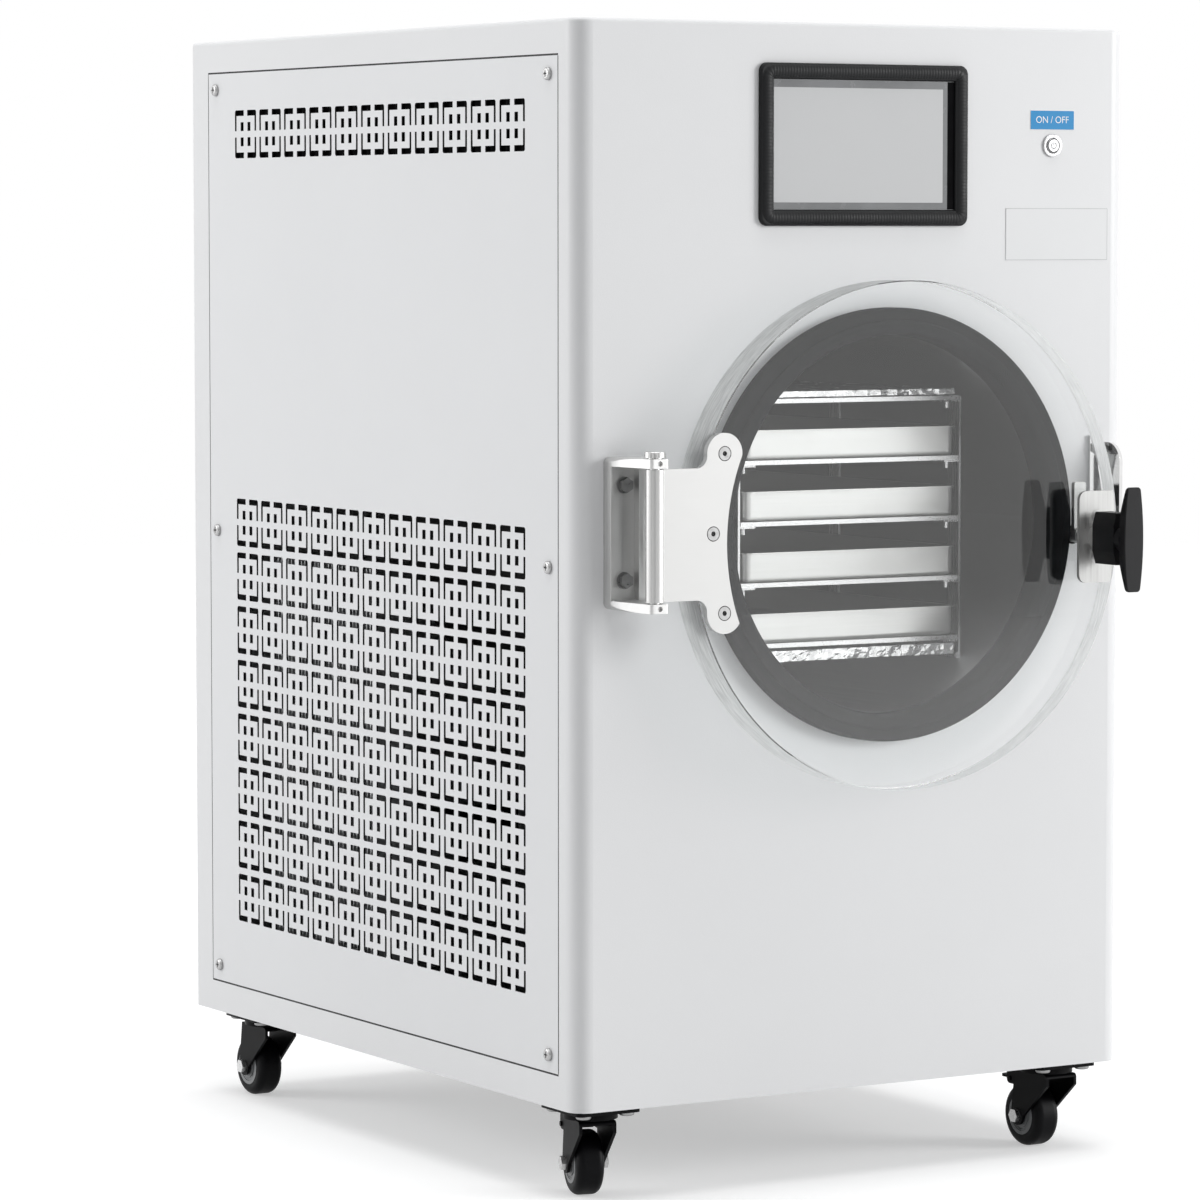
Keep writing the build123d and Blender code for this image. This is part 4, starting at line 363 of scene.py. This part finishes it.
finishes = {
    white_paint: ["cabinet_shell", "rear_panel"],
    panel_paint_and_slot_shade: ["left_side_panel", "right_side_panel"],
    grey_coat: ["base_pan", "fan_cowl", "control_box"],
    black_enamel: ["compressor"],
    screw_steel: ["panel_screws", "door_screws"],
    bolt_steel: ["mounting_bolts"],
    dark_steel: ["vacuum_chamber"],
    port_steel: ["vacuum_port"],
    copper: ["evaporator_coil"],
    foam: ["chamber_insulation"],
    silicone: ["door_gasket"],
    acrylic: ["door_disc"],
    leaf_steel: ["hinge_leaf"],
    plate_steel: ["latch_plate", "latch_pawl"],
    bracket_steel: ["hinge_bracket"],
    satin_steel: ["hinge_pin"],
    chrome: ["latch_keeper"],
    handle_black: ["latch_handle"],
    rack_steel: ["rack_frame"],
    shelf_metal: ["heater_shelves"],
    foil: ["insulation_mats"],
    tray_steel: ["tray_1", "tray_2", "tray_3", "tray_4"],
    trim_rubber: ["screen_bezel"],
    display_frame: ["touch_screen"],
    nickel: ["power_button_housing", "power_button_cap"],
    label_film: ["front_labels"],
    fin_metal: ["condenser_coil"],
    black_plastic: ["fan_rotor", "power_inlet"],
    brass: ["drain_valve"],
    red_dip: ["drain_lever"],
    caster_paint: ["caster_plates", "brake_pedal_front_left", "brake_pedal_front_right"]
    + ["caster_fork_" + corner for corner in CORNERS],
    zinc: ["caster_axle_" + corner for corner in CORNERS],
    tyre_rubber: ["caster_tyre_" + corner for corner in CORNERS],
    hub_nylon: ["caster_hub_" + corner for corner in CORNERS],
}
for material, names in finishes.items():
    for name in names:
        nodes[name].data.materials.clear()
        nodes[name].data.materials.append(material)


# ------------------------------------------------------------------ shape builders
def new_piece(name, mesh, material, body, smooth=True):
    mesh.materials.append(material)
    if smooth:
        for polygon in mesh.polygons:
            polygon.use_smooth = True
    piece = bpy.data.objects.new(name, mesh)
    scene.collection.objects.link(piece)
    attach(piece, body)
    return piece


def mesh_of(name, verts, faces):
    mesh = bpy.data.meshes.new(name)
    mesh.from_pydata(verts, [], faces)
    return mesh


def rounded_outline(width, height, radius, steps=8):
    """Points of a rounded rectangle round the origin, anticlockwise."""
    points = []
    for turn, (sx, sz) in enumerate(((1, 1), (-1, 1), (-1, -1), (1, -1))):
        for step in range(steps + 1):
            angle = math.radians(90 * turn + 90 * step / steps)
            across = sx * (width / 2 - radius) + radius * math.cos(angle)
            up = sz * (height / 2 - radius) + radius * math.sin(angle)
            points.append((across, up))
    return points


def front_plate(name, centre, size, back, material, corner, proud, edge, hole=None):
    """A thin plate of the cabinet facing the front, its front edge softened.

    The centre is (x, z), the size (width, height), the back the y it stands on, and
    the hole (width, height, radius).
    """
    front = back - proud
    outer = rounded_outline(*size, corner)
    inset_radius = max(corner - edge, edge / 2)
    inset = rounded_outline(size[0] - 2 * edge, size[1] - 2 * edge, inset_radius)
    rings = [(outer, back), (outer, front + edge), (inset, front)]
    if hole:
        gap = rounded_outline(*hole)
        rings += [(gap, front), (gap, back)]
    count = len(outer)
    verts = [(centre[0] + px, y, centre[1] + pz) for ring, y in rings for px, pz in ring]
    faces = []
    for ring in range(len(rings) - 1):
        for i in range(count):
            j = (i + 1) % count
            a, b = ring * count, (ring + 1) * count
            faces.append((a + i, a + j, b + j, b + i))
    last = (len(rings) - 1) * count
    if hole:
        for i in range(count):
            j = (i + 1) % count
            faces.append((last + i, last + j, j, i))
    else:
        faces.append(tuple(last + i for i in range(count)))
        faces.append(tuple(reversed(range(count))))
    mesh = mesh_of(name, verts, faces)
    mesh.validate()
    return new_piece(name, mesh, material, "cabinet", smooth=False)


def ring_piece(name, centre, axis, radius, section, material, body, squash,
               around=48, sides=8):
    """A ring about an axis, its round section squashed along that axis."""
    basis = Vector(axis).normalized().to_track_quat("Z", "Y").to_matrix()
    verts = []
    for i in range(around):
        turn = 2 * math.pi * i / around
        for j in range(sides):
            bend = 2 * math.pi * j / sides
            out = radius + section * math.cos(bend)
            rise = squash * section * math.sin(bend)
            point = Vector((out * math.cos(turn), out * math.sin(turn), rise))
            verts.append(tuple(Vector(centre) + basis @ point))
    faces = []
    for i in range(around):
        for j in range(sides):
            k, m = (i + 1) % around, (j + 1) % sides
            faces.append((i * sides + j, k * sides + j, k * sides + m, i * sides + m))
    return new_piece(name, mesh_of(name, verts, faces), material, body)


# ------------------------------------------------------------------ screen
TRIM_BAND = 12 * MM
TRIM_SECTION = 5.4 * MM
TRIM_CORNER = 5.5 * MM
TRIM_CORNER_STEPS = 24
TRIM_SIDES = 14
TRIM_FLATNESS = 0.62
TRIM_SEAT = 1.8 * MM
SHORTEST = 1e-9
RIB_PITCH = 2.6 * MM
RIB_DEPTH = 0.28 * MM
RIB_STEPS = 5

trim_low, trim_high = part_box("screen_bezel")
glass_low, glass_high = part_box("touch_screen")
trim_x = (trim_low.x + trim_high.x) / 2
trim_z = (trim_low.z + trim_high.z) / 2


def trim_path():
    """Evenly spaced places along the middle of the trim, with the outward direction."""
    width = trim_high.x - trim_low.x - TRIM_BAND
    height = trim_high.z - trim_low.z - TRIM_BAND
    outline = rounded_outline(width, height, TRIM_CORNER, steps=TRIM_CORNER_STEPS)
    corners = [Vector(point) for point in outline]
    corners.append(corners[0])
    lengths = [0.0]
    for a, b in zip(corners, corners[1:]):
        lengths.append(lengths[-1] + (b - a).length)
    total = round(lengths[-1] / RIB_PITCH) * RIB_STEPS
    places = []
    segment = 0
    for i in range(total):
        distance = lengths[-1] * i / total
        while lengths[segment + 1] < distance:
            segment += 1
        a, b = corners[segment], corners[segment + 1]
        share = (distance - lengths[segment]) / max((b - a).length, SHORTEST)
        tangent = (b - a).normalized()
        outward = Vector((tangent.y, -tangent.x))
        places.append((a.lerp(b, share), outward, i % RIB_STEPS))
    return places


def screen_trim():
    """The half-round rubber trim, ribbed along its whole length."""
    verts = []
    for place, outward, phase in trim_path():
        rib = RIB_DEPTH * (0.5 + 0.5 * math.cos(2 * math.pi * phase / RIB_STEPS))
        for j in range(TRIM_SIDES):
            bend = math.pi * j / (TRIM_SIDES - 1)
            radius = TRIM_SECTION + rib * math.sin(bend)
            across = radius * math.cos(bend)
            proud = radius * TRIM_FLATNESS * math.sin(bend)
            x = trim_x + place.x + outward.x * across
            z = trim_z + place.y + outward.y * across
            verts.append((x, trim_low.y + TRIM_SEAT - proud, z))
    count = len(verts) // TRIM_SIDES
    faces = []
    for i in range(count):
        here, there = i * TRIM_SIDES, (i + 1) % count * TRIM_SIDES
        for j in range(TRIM_SIDES - 1):
            faces.append((here + j, here + j + 1, there + j + 1, there + j))
    mesh = mesh_of("screen_trim", verts, faces)
    return new_piece("screen_trim", mesh, trim_rubber, "cabinet")


screen_trim()

# lit area of the display, on the cover glass
DISPLAY_X = -2.2 * MM
DISPLAY_RISE = 730.7 * MM
DISPLAY_SIZE = (155.6 * MM, 87.6 * MM)

cabinet_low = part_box("cabinet_shell")[0]
base_z = cabinet_low.z
front_plate(
    "display_lit_area", (DISPLAY_X, base_z + DISPLAY_RISE), DISPLAY_SIZE, glass_low.y,
    display_lit, corner=0.6 * MM, proud=0.12 * MM, edge=0.05 * MM,
)

# painted shade: a black strip on the cover glass along the trim's right inner edge, for the
# shade of its deep inner wall
SHADE_STRIP_WIDTH = 6.2 * MM
SHADE_STRIP_GAP = 0.6 * MM

shade_strip_centre = (glass_high.x - SHADE_STRIP_WIDTH / 2, (glass_low.z + glass_high.z) / 2)
shade_strip_size = (SHADE_STRIP_WIDTH, glass_high.z - glass_low.z - SHADE_STRIP_GAP)
front_plate(
    "screen_painted_shade", shade_strip_centre, shade_strip_size, glass_low.y,
    filter_black, corner=0.3 * MM, proud=0.1 * MM, edge=0.04 * MM,
)

# ------------------------------------------------------------------ power button
GROOVE_RADIUS = 5.3 * MM
GROOVE_SECTION = 0.42 * MM
GROOVE_SINK = 0.1 * MM
MARK_RADIUS = 2.3 * MM
MARK_WIDTH = 0.55 * MM
MARK_SINK = 0.05 * MM
MARK_PROUD = 0.08 * MM
MARK_STEPS = 28
MARK_HALF_GAP = 38
MARK_BAR = (0.4 * MM, 3.0 * MM)

cap_low, cap_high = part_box("power_button_cap")
button_x = (cap_low.x + cap_high.x) / 2
button_z = (cap_low.z + cap_high.z) / 2
ring_piece(
    "button_groove", (button_x, cap_low.y + GROOVE_SINK, button_z), ALONG_Y,
    GROOVE_RADIUS, GROOVE_SECTION, black_plastic, "button", squash=0.6,
)


def standby_mark():
    """The common standby sign on the cap: a broken ring with a bar in its gap."""
    depths = (cap_low.y + MARK_SINK, cap_low.y - MARK_PROUD)
    verts, faces = [], []
    for i in range(MARK_STEPS + 1):
        sweep = (360 - 2 * MARK_HALF_GAP) * i / MARK_STEPS
        angle = math.radians(90 + MARK_HALF_GAP + sweep)
        for r in (MARK_RADIUS - MARK_WIDTH / 2, MARK_RADIUS + MARK_WIDTH / 2):
            for y in depths:
                verts.append((button_x + r * math.cos(angle), y, button_z + r * math.sin(angle)))
    for i in range(MARK_STEPS):
        a, b = i * 4, (i + 1) * 4
        for p, q in ((0, 1), (1, 3), (3, 2), (2, 0)):
            faces.append((a + p, a + q, b + q, b + p))
    end = MARK_STEPS * 4
    faces += [(0, 2, 3, 1), (end, end + 1, end + 3, end + 2)]
    base = len(verts)
    for x in (-MARK_WIDTH / 2, MARK_WIDTH / 2):
        for y in depths:
            for z in MARK_BAR:
                verts.append((button_x + x, y, button_z + z))
    bar = ((0, 1, 3, 2), (4, 6, 7, 5), (0, 4, 5, 1), (2, 3, 7, 6), (0, 2, 6, 4), (1, 5, 7, 3))
    faces += [tuple(base + i for i in quad) for quad in bar]
    mesh = mesh_of("standby_mark", verts, faces)
    return new_piece("standby_mark", mesh, display_frame, "button", smooth=False)


standby_mark()

# ------------------------------------------------------------------ labels
# a blue one with the generic words ON / OFF, and a blank one with a thin printed border
BLUE_X = 181 * MM
BLUE_RISE = 752 * MM
BLUE_SIZE = (41.6 * MM, 14.6 * MM)
OUTLINED_X = 186 * MM
OUTLINED_RISE = 662.5 * MM
OUTLINED_SIZE = (98.1 * MM, 40.6 * MM)
OUTLINED_HOLE = (97.3 * MM, 39.8 * MM, 0.4 * MM)
LABEL_CORNER = 0.5 * MM
WORDS_SIZE = 7.6 * MM
WORDS_DEPTH = 0.03 * MM
WORDS_PROUD = 0.1 * MM

label_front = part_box("front_labels")[0].y
front_plate(
    "blue_label_print", (BLUE_X, base_z + BLUE_RISE), BLUE_SIZE, label_front,
    blue_print, LABEL_CORNER, proud=0.08 * MM, edge=0.03 * MM,
)
front_plate(
    "outlined_label_border", (OUTLINED_X, base_z + OUTLINED_RISE), OUTLINED_SIZE,
    label_front, grey_print, LABEL_CORNER, proud=0.05 * MM, edge=0.02 * MM,
    hole=OUTLINED_HOLE,
)

switch_words = bpy.data.curves.new("switch_words", "FONT")
switch_words.body = "ON / OFF"
switch_words.size = WORDS_SIZE
switch_words.extrude = WORDS_DEPTH
switch_words.align_x = "CENTER"
switch_words.align_y = "CENTER"
switch_words.materials.append(white_print)
switch_text = bpy.data.objects.new("switch_words", switch_words)
scene.collection.objects.link(switch_text)
switch_text.location = (BLUE_X, label_front - WORDS_PROUD, base_z + BLUE_RISE)
switch_text.rotation_euler = (math.radians(90), 0, 0)
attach(switch_text, "cabinet")

# ------------------------------------------------------------------ hinge leaf's screws
# painted shade: a dark ring round each head where it meets the leaf, and a dark ring round its
# hexagon socket so that the socket reads deep
LOBE_REACH = 62 * MM
MIDDLE_REACH = 52 * MM
LOBE_RISE = 60 * MM
HEAD_PROUD = 5 * MM
SEAT_SHADE_RADIUS = 5.4 * MM
SEAT_SHADE_SECTION = 0.28 * MM
SOCKET_SHADE_RADIUS = 1.5 * MM
SOCKET_SHADE_SECTION = 0.5 * MM
LEAF_SCREWS = {
    "top": (LOBE_REACH, LOBE_RISE),
    "middle": (MIDDLE_REACH, 0),
    "bottom": (LOBE_REACH, -LOBE_RISE),
}

door_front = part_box("door_disc")[0].y
leaf_low, leaf_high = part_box("hinge_leaf")
pin_low, pin_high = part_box("hinge_pin")
pin_x = (pin_low.x + pin_high.x) / 2
leaf_z = (leaf_low.z + leaf_high.z) / 2
for label, (reach, rise) in LEAF_SCREWS.items():
    head = (pin_x + reach, door_front - HEAD_PROUD, leaf_z + rise)
    # painted shade where the head meets the leaf
    ring_piece(
        "screw_seat_shade_" + label, head, ALONG_Y, SEAT_SHADE_RADIUS, SEAT_SHADE_SECTION,
        handle_black, "door", squash=0.6,
    )
    # painted shade round the socket, for its depth
    ring_piece(
        "socket_shade_" + label, head, ALONG_Y, SOCKET_SHADE_RADIUS, SOCKET_SHADE_SECTION,
        handle_black, "door", squash=0.3, around=6,
    )

# ------------------------------------------------------------------ grilles and panels
MAT_GAP = 1.4 * MM
MAT_PLEAT = 8 * MM
MAT_SWING = 1.2 * MM
MAT_SKIN = 0.8 * MM
MAT_STEPS = 6
MAT_ROWS = 6
GRILLE_MARGIN = 44 * MM
UPPER_MAT_DROP = 75 * MM
UPPER_MAT_HEIGHT = 47 * MM
LOWER_MAT_RISE = 52.5 * MM
LOWER_MAT_HEIGHT = 138 * MM
REAR_MAT_HALF = 180 * MM
REAR_MATS = {"lower": (108 * MM, 49 * MM), "upper": (712 * MM, 62 * MM)}
EDGING_OUT = 0.9 * MM
EDGING_IN = 0.5 * MM
EDGING_SIDE = 0.3 * MM
EDGING_PROUD = 0.04 * MM
EDGING_THICK = 0.3 * MM


def pleated_mat(name, start, along, inward, width, height):
    """A pleated filter sheet just inside a panel, from its lower corner, pleats upright."""
    columns = round(width / MAT_PLEAT) * MAT_STEPS
    stride = MAT_ROWS + 1
    verts, faces = [], []
    for skin in (0, MAT_SKIN):
        for i in range(columns + 1):
            fold = MAT_SWING * (1 + math.sin(2 * math.pi * i / MAT_STEPS)) / 2
            foot = start + along * (width * i / columns) + inward * (MAT_GAP + fold + skin)
            for k in range(stride):
                verts.append(tuple(foot + Vector((0, 0, height * k / MAT_ROWS))))
    count = (columns + 1) * stride
    for i in range(columns):
        for k in range(MAT_ROWS):
            a = i * stride + k
            b = a + stride
            faces.append((a, b, b + 1, a + 1))
            faces.append((count + a, count + a + 1, count + b + 1, count + b))
    for i in range(columns):
        a, b = i * stride, (i + 1) * stride
        c, d = a + MAT_ROWS, b + MAT_ROWS
        faces.append((a, count + a, count + b, b))
        faces.append((c, d, count + d, count + c))
    for k in range(MAT_ROWS):
        a, b = k, columns * stride + k
        faces.append((a, a + 1, count + a + 1, count + a))
        faces.append((b, count + b, count + b + 1, b + 1))
    mesh = mesh_of(name, verts, faces)
    return new_piece(name, mesh, filter_black, "cabinet", smooth=False)


def panel_edging(name, side, low, high):
    """Four thin black strips over the joint between a side panel and the cabinet."""
    outer_x = (high.x if side > 0 else low.x) + side * EDGING_PROUD
    x_middle = outer_x - side * EDGING_THICK / 2
    ends = (low.y - EDGING_SIDE, high.y + EDGING_SIDE)
    inner = (low.z + EDGING_IN, high.z - EDGING_IN)
    spans = [
        (*ends, high.z - EDGING_IN, high.z + EDGING_OUT),
        (*ends, low.z - EDGING_OUT, low.z + EDGING_IN),
        (low.y - EDGING_SIDE, low.y + EDGING_SIDE, *inner),
        (high.y - EDGING_SIDE, high.y + EDGING_SIDE, *inner),
    ]
    work = bmesh.new()
    for y_low, y_high, z_low, z_high in spans:
        for vert in bmesh.ops.create_cube(work, size=1.0)["verts"]:
            x = x_middle + vert.co.x * EDGING_THICK
            y = (y_low + y_high) / 2 + vert.co.y * (y_high - y_low)
            z = (z_low + z_high) / 2 + vert.co.z * (z_high - z_low)
            vert.co = Vector((x, y, z))
    mesh = bpy.data.meshes.new(name)
    work.to_mesh(mesh)
    work.free()
    return new_piece(name, mesh, handle_black, "cabinet", smooth=False)


for side, label in ((-1, "left"), (1, "right")):
    panel_low, panel_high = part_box(label + "_side_panel")
    inner_x = panel_low.x if side > 0 else panel_high.x
    mat_y = panel_low.y + GRILLE_MARGIN
    mat_width = panel_high.y - GRILLE_MARGIN - mat_y
    inward = -side * ALONG_X
    upper = Vector((inner_x, mat_y, panel_high.z - UPPER_MAT_DROP))
    lower = Vector((inner_x, mat_y, panel_low.z + LOWER_MAT_RISE))
    pleated_mat(
        "filter_mat_upper_" + label, upper, ALONG_Y, inward, mat_width, UPPER_MAT_HEIGHT
    )
    panel_edging("panel_edging_" + label, side, panel_low, panel_high)
    if side > 0:
        pleated_mat(
            "filter_mat_lower_" + label, lower, ALONG_Y, inward, mat_width, LOWER_MAT_HEIGHT
        )

rear_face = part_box("rear_panel")[0].y
for label, (rise, height) in REAR_MATS.items():
    start = Vector((-REAR_MAT_HALF, rear_face, base_z + rise))
    pleated_mat(
        "filter_mat_rear_" + label, start, ALONG_X, -ALONG_Y, 2 * REAR_MAT_HALF, height
    )

# ------------------------------------------------------------------ latch
# black bush round the latch shaft behind the door
BUSH_RADIUS = 5.0 * MM
BUSH_SECTION = 2.4 * MM

knob_low, knob_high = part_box("latch_handle")
latch_x = (knob_low.x + knob_high.x) / 2
latch_z = (knob_low.z + knob_high.z) / 2
bush_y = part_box("latch_pawl")[1].y + BUSH_SECTION / 2
ring_piece(
    "latch_bush", (latch_x, bush_y, latch_z), ALONG_Y, BUSH_RADIUS, BUSH_SECTION,
    handle_black, "latch", squash=0.5, sides=12,
)

# ------------------------------------------------------------------ foil on the mats
FOIL_CELL = Vector((3 * MM, 8 * MM, 1.6 * MM))
FOIL_MIN_ROWS = 3
FOIL_COARSE = 160  # crumples to a metre
FOIL_FINE = 420
FOIL_FINE_SHARE = 0.6
FOIL_SWING = Vector((0.5 * MM, 1.1 * MM, 0.55 * MM))
FOIL_TUCK_TOP = 0.25 * MM
FOIL_TUCK_END = 0.2 * MM
FOIL_AT_EDGE = 0.99
CALM_FROM = 0.35  # the foil is calmer left of this share of its width
CALM_OVER = 0.35
MAT_TOP = 6 * MM
MAT_BOTTOM = 10 * MM
MAT_SLACK = 0.7 * MM

noise.seed_set(7)  # unseeded noise vectors would differ from run to run


def foil_block(name, low, high, seed, calm_left):
    """Crinkled foil round a mat, calmer towards its left end."""
    work = bmesh.new()
    size = high - low
    cells = (
        int(size.x / FOIL_CELL.x),
        int(size.y / FOIL_CELL.y),
        max(FOIL_MIN_ROWS, int(size.z / FOIL_CELL.z)),
    )
    grid = {}

    def corner(*place):
        if place not in grid:
            shares = Vector([step / steps for step, steps in zip(place, cells)])
            grid[place] = work.verts.new(low + size * shares)
        return grid[place]

    def cell(first, second, i, j, level):
        """One cell of a wall: i and j count along two axes, level along the third."""
        quad = []
        for di, dj in ((0, 0), (1, 0), (1, 1), (0, 1)):
            place = [level] * 3
            place[first], place[second] = i + di, j + dj
            quad.append(corner(*place))
        work.faces.new(quad)

    for first, second, across in ((0, 1, 2), (0, 2, 1), (1, 2, 0)):
        for i in range(cells[first]):
            for j in range(cells[second]):
                for level in (0, cells[across]):
                    cell(first, second, i, j, level)
    middle = (low + high) / 2
    for vert in work.verts:
        offset = noise.noise_vector(vert.co * FOIL_COARSE + Vector((seed, 0, 0)))
        offset += FOIL_FINE_SHARE * noise.noise_vector(vert.co * FOIL_FINE)
        along = (vert.co.x - low.x) / size.x
        waking = min(1.0, max(0.0, (along - CALM_FROM) / CALM_OVER))
        offset *= calm_left + (1 - calm_left) * waking
        reach_y = abs(vert.co.y - middle.y) / (size.y / 2)
        reach_z = (vert.co.z - middle.z) / (size.z / 2)
        tuck = FOIL_TUCK_TOP * (abs(reach_z) > FOIL_AT_EDGE)
        tuck += FOIL_TUCK_END * (reach_y > FOIL_AT_EDGE)
        vert.co += offset * FOIL_SWING
        vert.co.z -= math.copysign(tuck, reach_z)
    bmesh.ops.recalc_face_normals(work, faces=work.faces)
    mesh = bpy.data.meshes.new(name)
    work.to_mesh(mesh)
    work.free()
    return new_piece(name, mesh, foil, "cabinet", smooth=False)


mat_low, mat_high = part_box("insulation_mats")
top_low = Vector((mat_low.x, mat_low.y, mat_high.z - MAT_TOP + MAT_SLACK))
bottom_high = Vector((mat_high.x, mat_high.y, mat_low.z + MAT_BOTTOM - MAT_SLACK))
top_mat = foil_block("foil_mat_top", top_low, mat_high, seed=3.0, calm_left=0.25)
foil_block("foil_mat_bottom", mat_low, bottom_high, seed=11.0, calm_left=0.7)
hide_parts("insulation_mats")

# ------------------------------------------------------------------ casters
# a bearing ring on each hub face and a mould line round the tyre
HUB_FACE = 10.1 * MM
HUB_RING_RADIUS = 12.2 * MM
HUB_RING_SECTION = 0.8 * MM
MOULD_LINE_RADIUS = 24.72 * MM
MOULD_LINE_SECTION = 0.32 * MM
FRONT_LEFT_TURN = math.radians(-15)

for corner in CORNERS:
    hub_low, hub_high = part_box("caster_hub_" + corner)
    centre = (hub_low + hub_high) / 2
    turn = FRONT_LEFT_TURN if corner == "front_left" else 0.0
    axis = Vector((math.cos(turn), math.sin(turn), 0))
    wheel = "wheel_" + corner
    for side, label in ((-1, "outer"), (1, "inner")):
        ring_piece(
            f"hub_ring_{label}_{corner}", centre + axis * side * HUB_FACE, axis,
            HUB_RING_RADIUS, HUB_RING_SECTION, hub_nylon, wheel,
            squash=0.7, around=40,
        )
    ring_piece(
        "tyre_mould_line_" + corner, centre, axis, MOULD_LINE_RADIUS, MOULD_LINE_SECTION,
        tyre_rubber, wheel, squash=2.0, around=72,
    )


# ------------------------------------------------------------------ floor and world
FLOOR_REACH = 9.0
FLOOR_LIFT = 0.45  # how much of white the floor adds for the rays that see it
FLOOR_SOLID = 2.5  # it fades out between these distances from the object
FLOOR_GONE = 8.0
SKY_SEEN = 1.0
SKY_AMBIENT = 0.36


def seen_rays(tree):
    """One for camera, glossy and transmission rays that met nothing matt, else nought."""
    path = tree.nodes.new("ShaderNodeLightPath").outputs
    seen = maths(tree, "MAXIMUM", path["Is Glossy Ray"], path["Is Camera Ray"])
    seen = maths(tree, "MAXIMUM", path["Is Transmission Ray"], seen)
    direct = maths(tree, "LESS_THAN", path["Diffuse Depth"], NO_BOUNCE)
    return maths(tree, "MULTIPLY", seen, direct)


def board(name, half_width, half_height, material):
    """A flat board of the studio, in its own XY plane."""
    w, h = half_width, half_height
    mesh = mesh_of(name, [(-w, -h, 0), (w, -h, 0), (w, h, 0), (-w, h, 0)], [(0, 1, 2, 3)])
    mesh.materials.append(material)
    item = bpy.data.objects.new(name, mesh)
    scene.collection.objects.link(item)
    return item


def floor_material():
    """Pale floor, white to the camera and in reflections, with the shadow kept."""
    finish = Finish("studio_floor")
    tree = finish.tree
    finish.tint(finish.grain(0.5), (0.62, 0.62, 0.62), (0.64, 0.64, 0.64))
    set_socket(finish.shader, "Roughness", 0.9)
    set_socket(finish.shader, "Specular IOR Level", 0.1)
    set_socket(finish.shader, "Emission Color", (1, 1, 1, 1))
    lift = maths(tree, "MULTIPLY", seen_rays(tree), FLOOR_LIFT)
    tree.links.new(lift, finish.shader.inputs["Emission Strength"])
    # far out it turns clear, so that it meets the backdrop with no edge
    distance = finish.node("VectorMath")
    distance.operation = "LENGTH"
    finish.link(finish.place, "Object", distance, 0)
    fade = finish.node("MapRange")
    set_socket(fade, "From Min", FLOOR_SOLID)
    set_socket(fade, "From Max", FLOOR_GONE)
    finish.link(distance, "Value", fade, "Value")
    clear = finish.node("BsdfTransparent")
    faded = mixed(
        tree, fade.outputs["Result"], finish.shader.outputs["BSDF"], clear.outputs["BSDF"]
    )
    tree.links.new(faded, finish.output.inputs["Surface"])
    return finish.material


board("studio_floor", FLOOR_REACH, FLOOR_REACH, floor_material())

world = bpy.data.worlds.new("studio")
scene.world = world
world.use_nodes = True
sky = world.node_tree
sky.nodes.clear()
sky_out = sky.nodes.new("ShaderNodeOutputWorld")
seen_sky = sky.nodes.new("ShaderNodeBackground")
set_socket(seen_sky, "Color", (1, 1, 1, 1))
set_socket(seen_sky, "Strength", SKY_SEEN)
ambient = sky.nodes.new("ShaderNodeBackground")
set_socket(ambient, "Color", (0.97, 0.985, 1, 1))
set_socket(ambient, "Strength", SKY_AMBIENT)
both_skies = mixed(
    sky, seen_rays(sky), ambient.outputs["Background"], seen_sky.outputs["Background"]
)
sky.links.new(both_skies, sky_out.inputs["Surface"])

# ------------------------------------------------------------------ lamps and flags
LAMP_AIM = (0, 0, 0.5)
LAMP_SIZE = 2.4
SUN_STRENGTH = 1.9
SUN_SPREAD = 50
FLAG_AIM = (0, 0, 0.6)
FLAG_HEIGHT = 2.6


def aimed(item, place, aim):
    item.location = place
    item.rotation_euler = (Vector(aim) - Vector(place)).to_track_quat("-Z", "Y").to_euler()


def lamp_of(name, kind, power):
    """A lamp that clear pieces don't show."""
    data = bpy.data.lights.new(name, kind)
    data.energy = power
    lamp = bpy.data.objects.new(name, data)
    scene.collection.objects.link(lamp)
    lamp.visible_transmission = False
    return lamp


def softbox(name, place, power):
    lamp = lamp_of(name, "AREA", power)
    lamp.data.shape = "RECTANGLE"
    lamp.data.size = LAMP_SIZE
    lamp.data.size_y = LAMP_SIZE
    aimed(lamp, place, LAMP_AIM)


def flag(name, place, width):
    """A dark board that only metal shows, as its dark parts."""
    item = board(name, width / 2, FLAG_HEIGHT / 2, flag_cloth)
    aimed(item, place, FLAG_AIM)
    item.visible_camera = False
    item.visible_transmission = False


softbox("key_right", place=(4.9, -3.7, 1.7), power=225)
softbox("side_left", place=(-3.9, 2.8, 1.8), power=92)
overhead = lamp_of("overhead", "SUN", SUN_STRENGTH)
overhead.data.angle = math.radians(SUN_SPREAD)
flag("flag_behind", place=(-3.3, -5.6, 1.2), width=3.2)
flag("flag_left", place=(-5.6, -2.2, 1.2), width=1.6)
flag("flag_right", place=(1.0, -6.5, 1.2), width=1.4)

# ------------------------------------------------------------------ camera
CAMERA_PLACE = (-2.2036, -3.62395, 0.7413)
CAMERA_DIP = 4.151  # degrees below the horizon
CAMERA_TURN = -30.666  # degrees round the vertical
CAMERA_LENS = 154.785
SENSOR_WIDTH = 36.0
CLIP_END = 200

camera_data = bpy.data.cameras.new("camera")
camera = bpy.data.objects.new("camera", camera_data)
scene.collection.objects.link(camera)
camera_data.sensor_width = SENSOR_WIDTH
camera_data.lens = CAMERA_LENS
camera_data.clip_end = CLIP_END
camera.location = CAMERA_PLACE
camera.rotation_euler = (math.radians(90 - CAMERA_DIP), 0, math.radians(CAMERA_TURN))
scene.camera = camera
scene.view_settings.view_transform = "Standard"
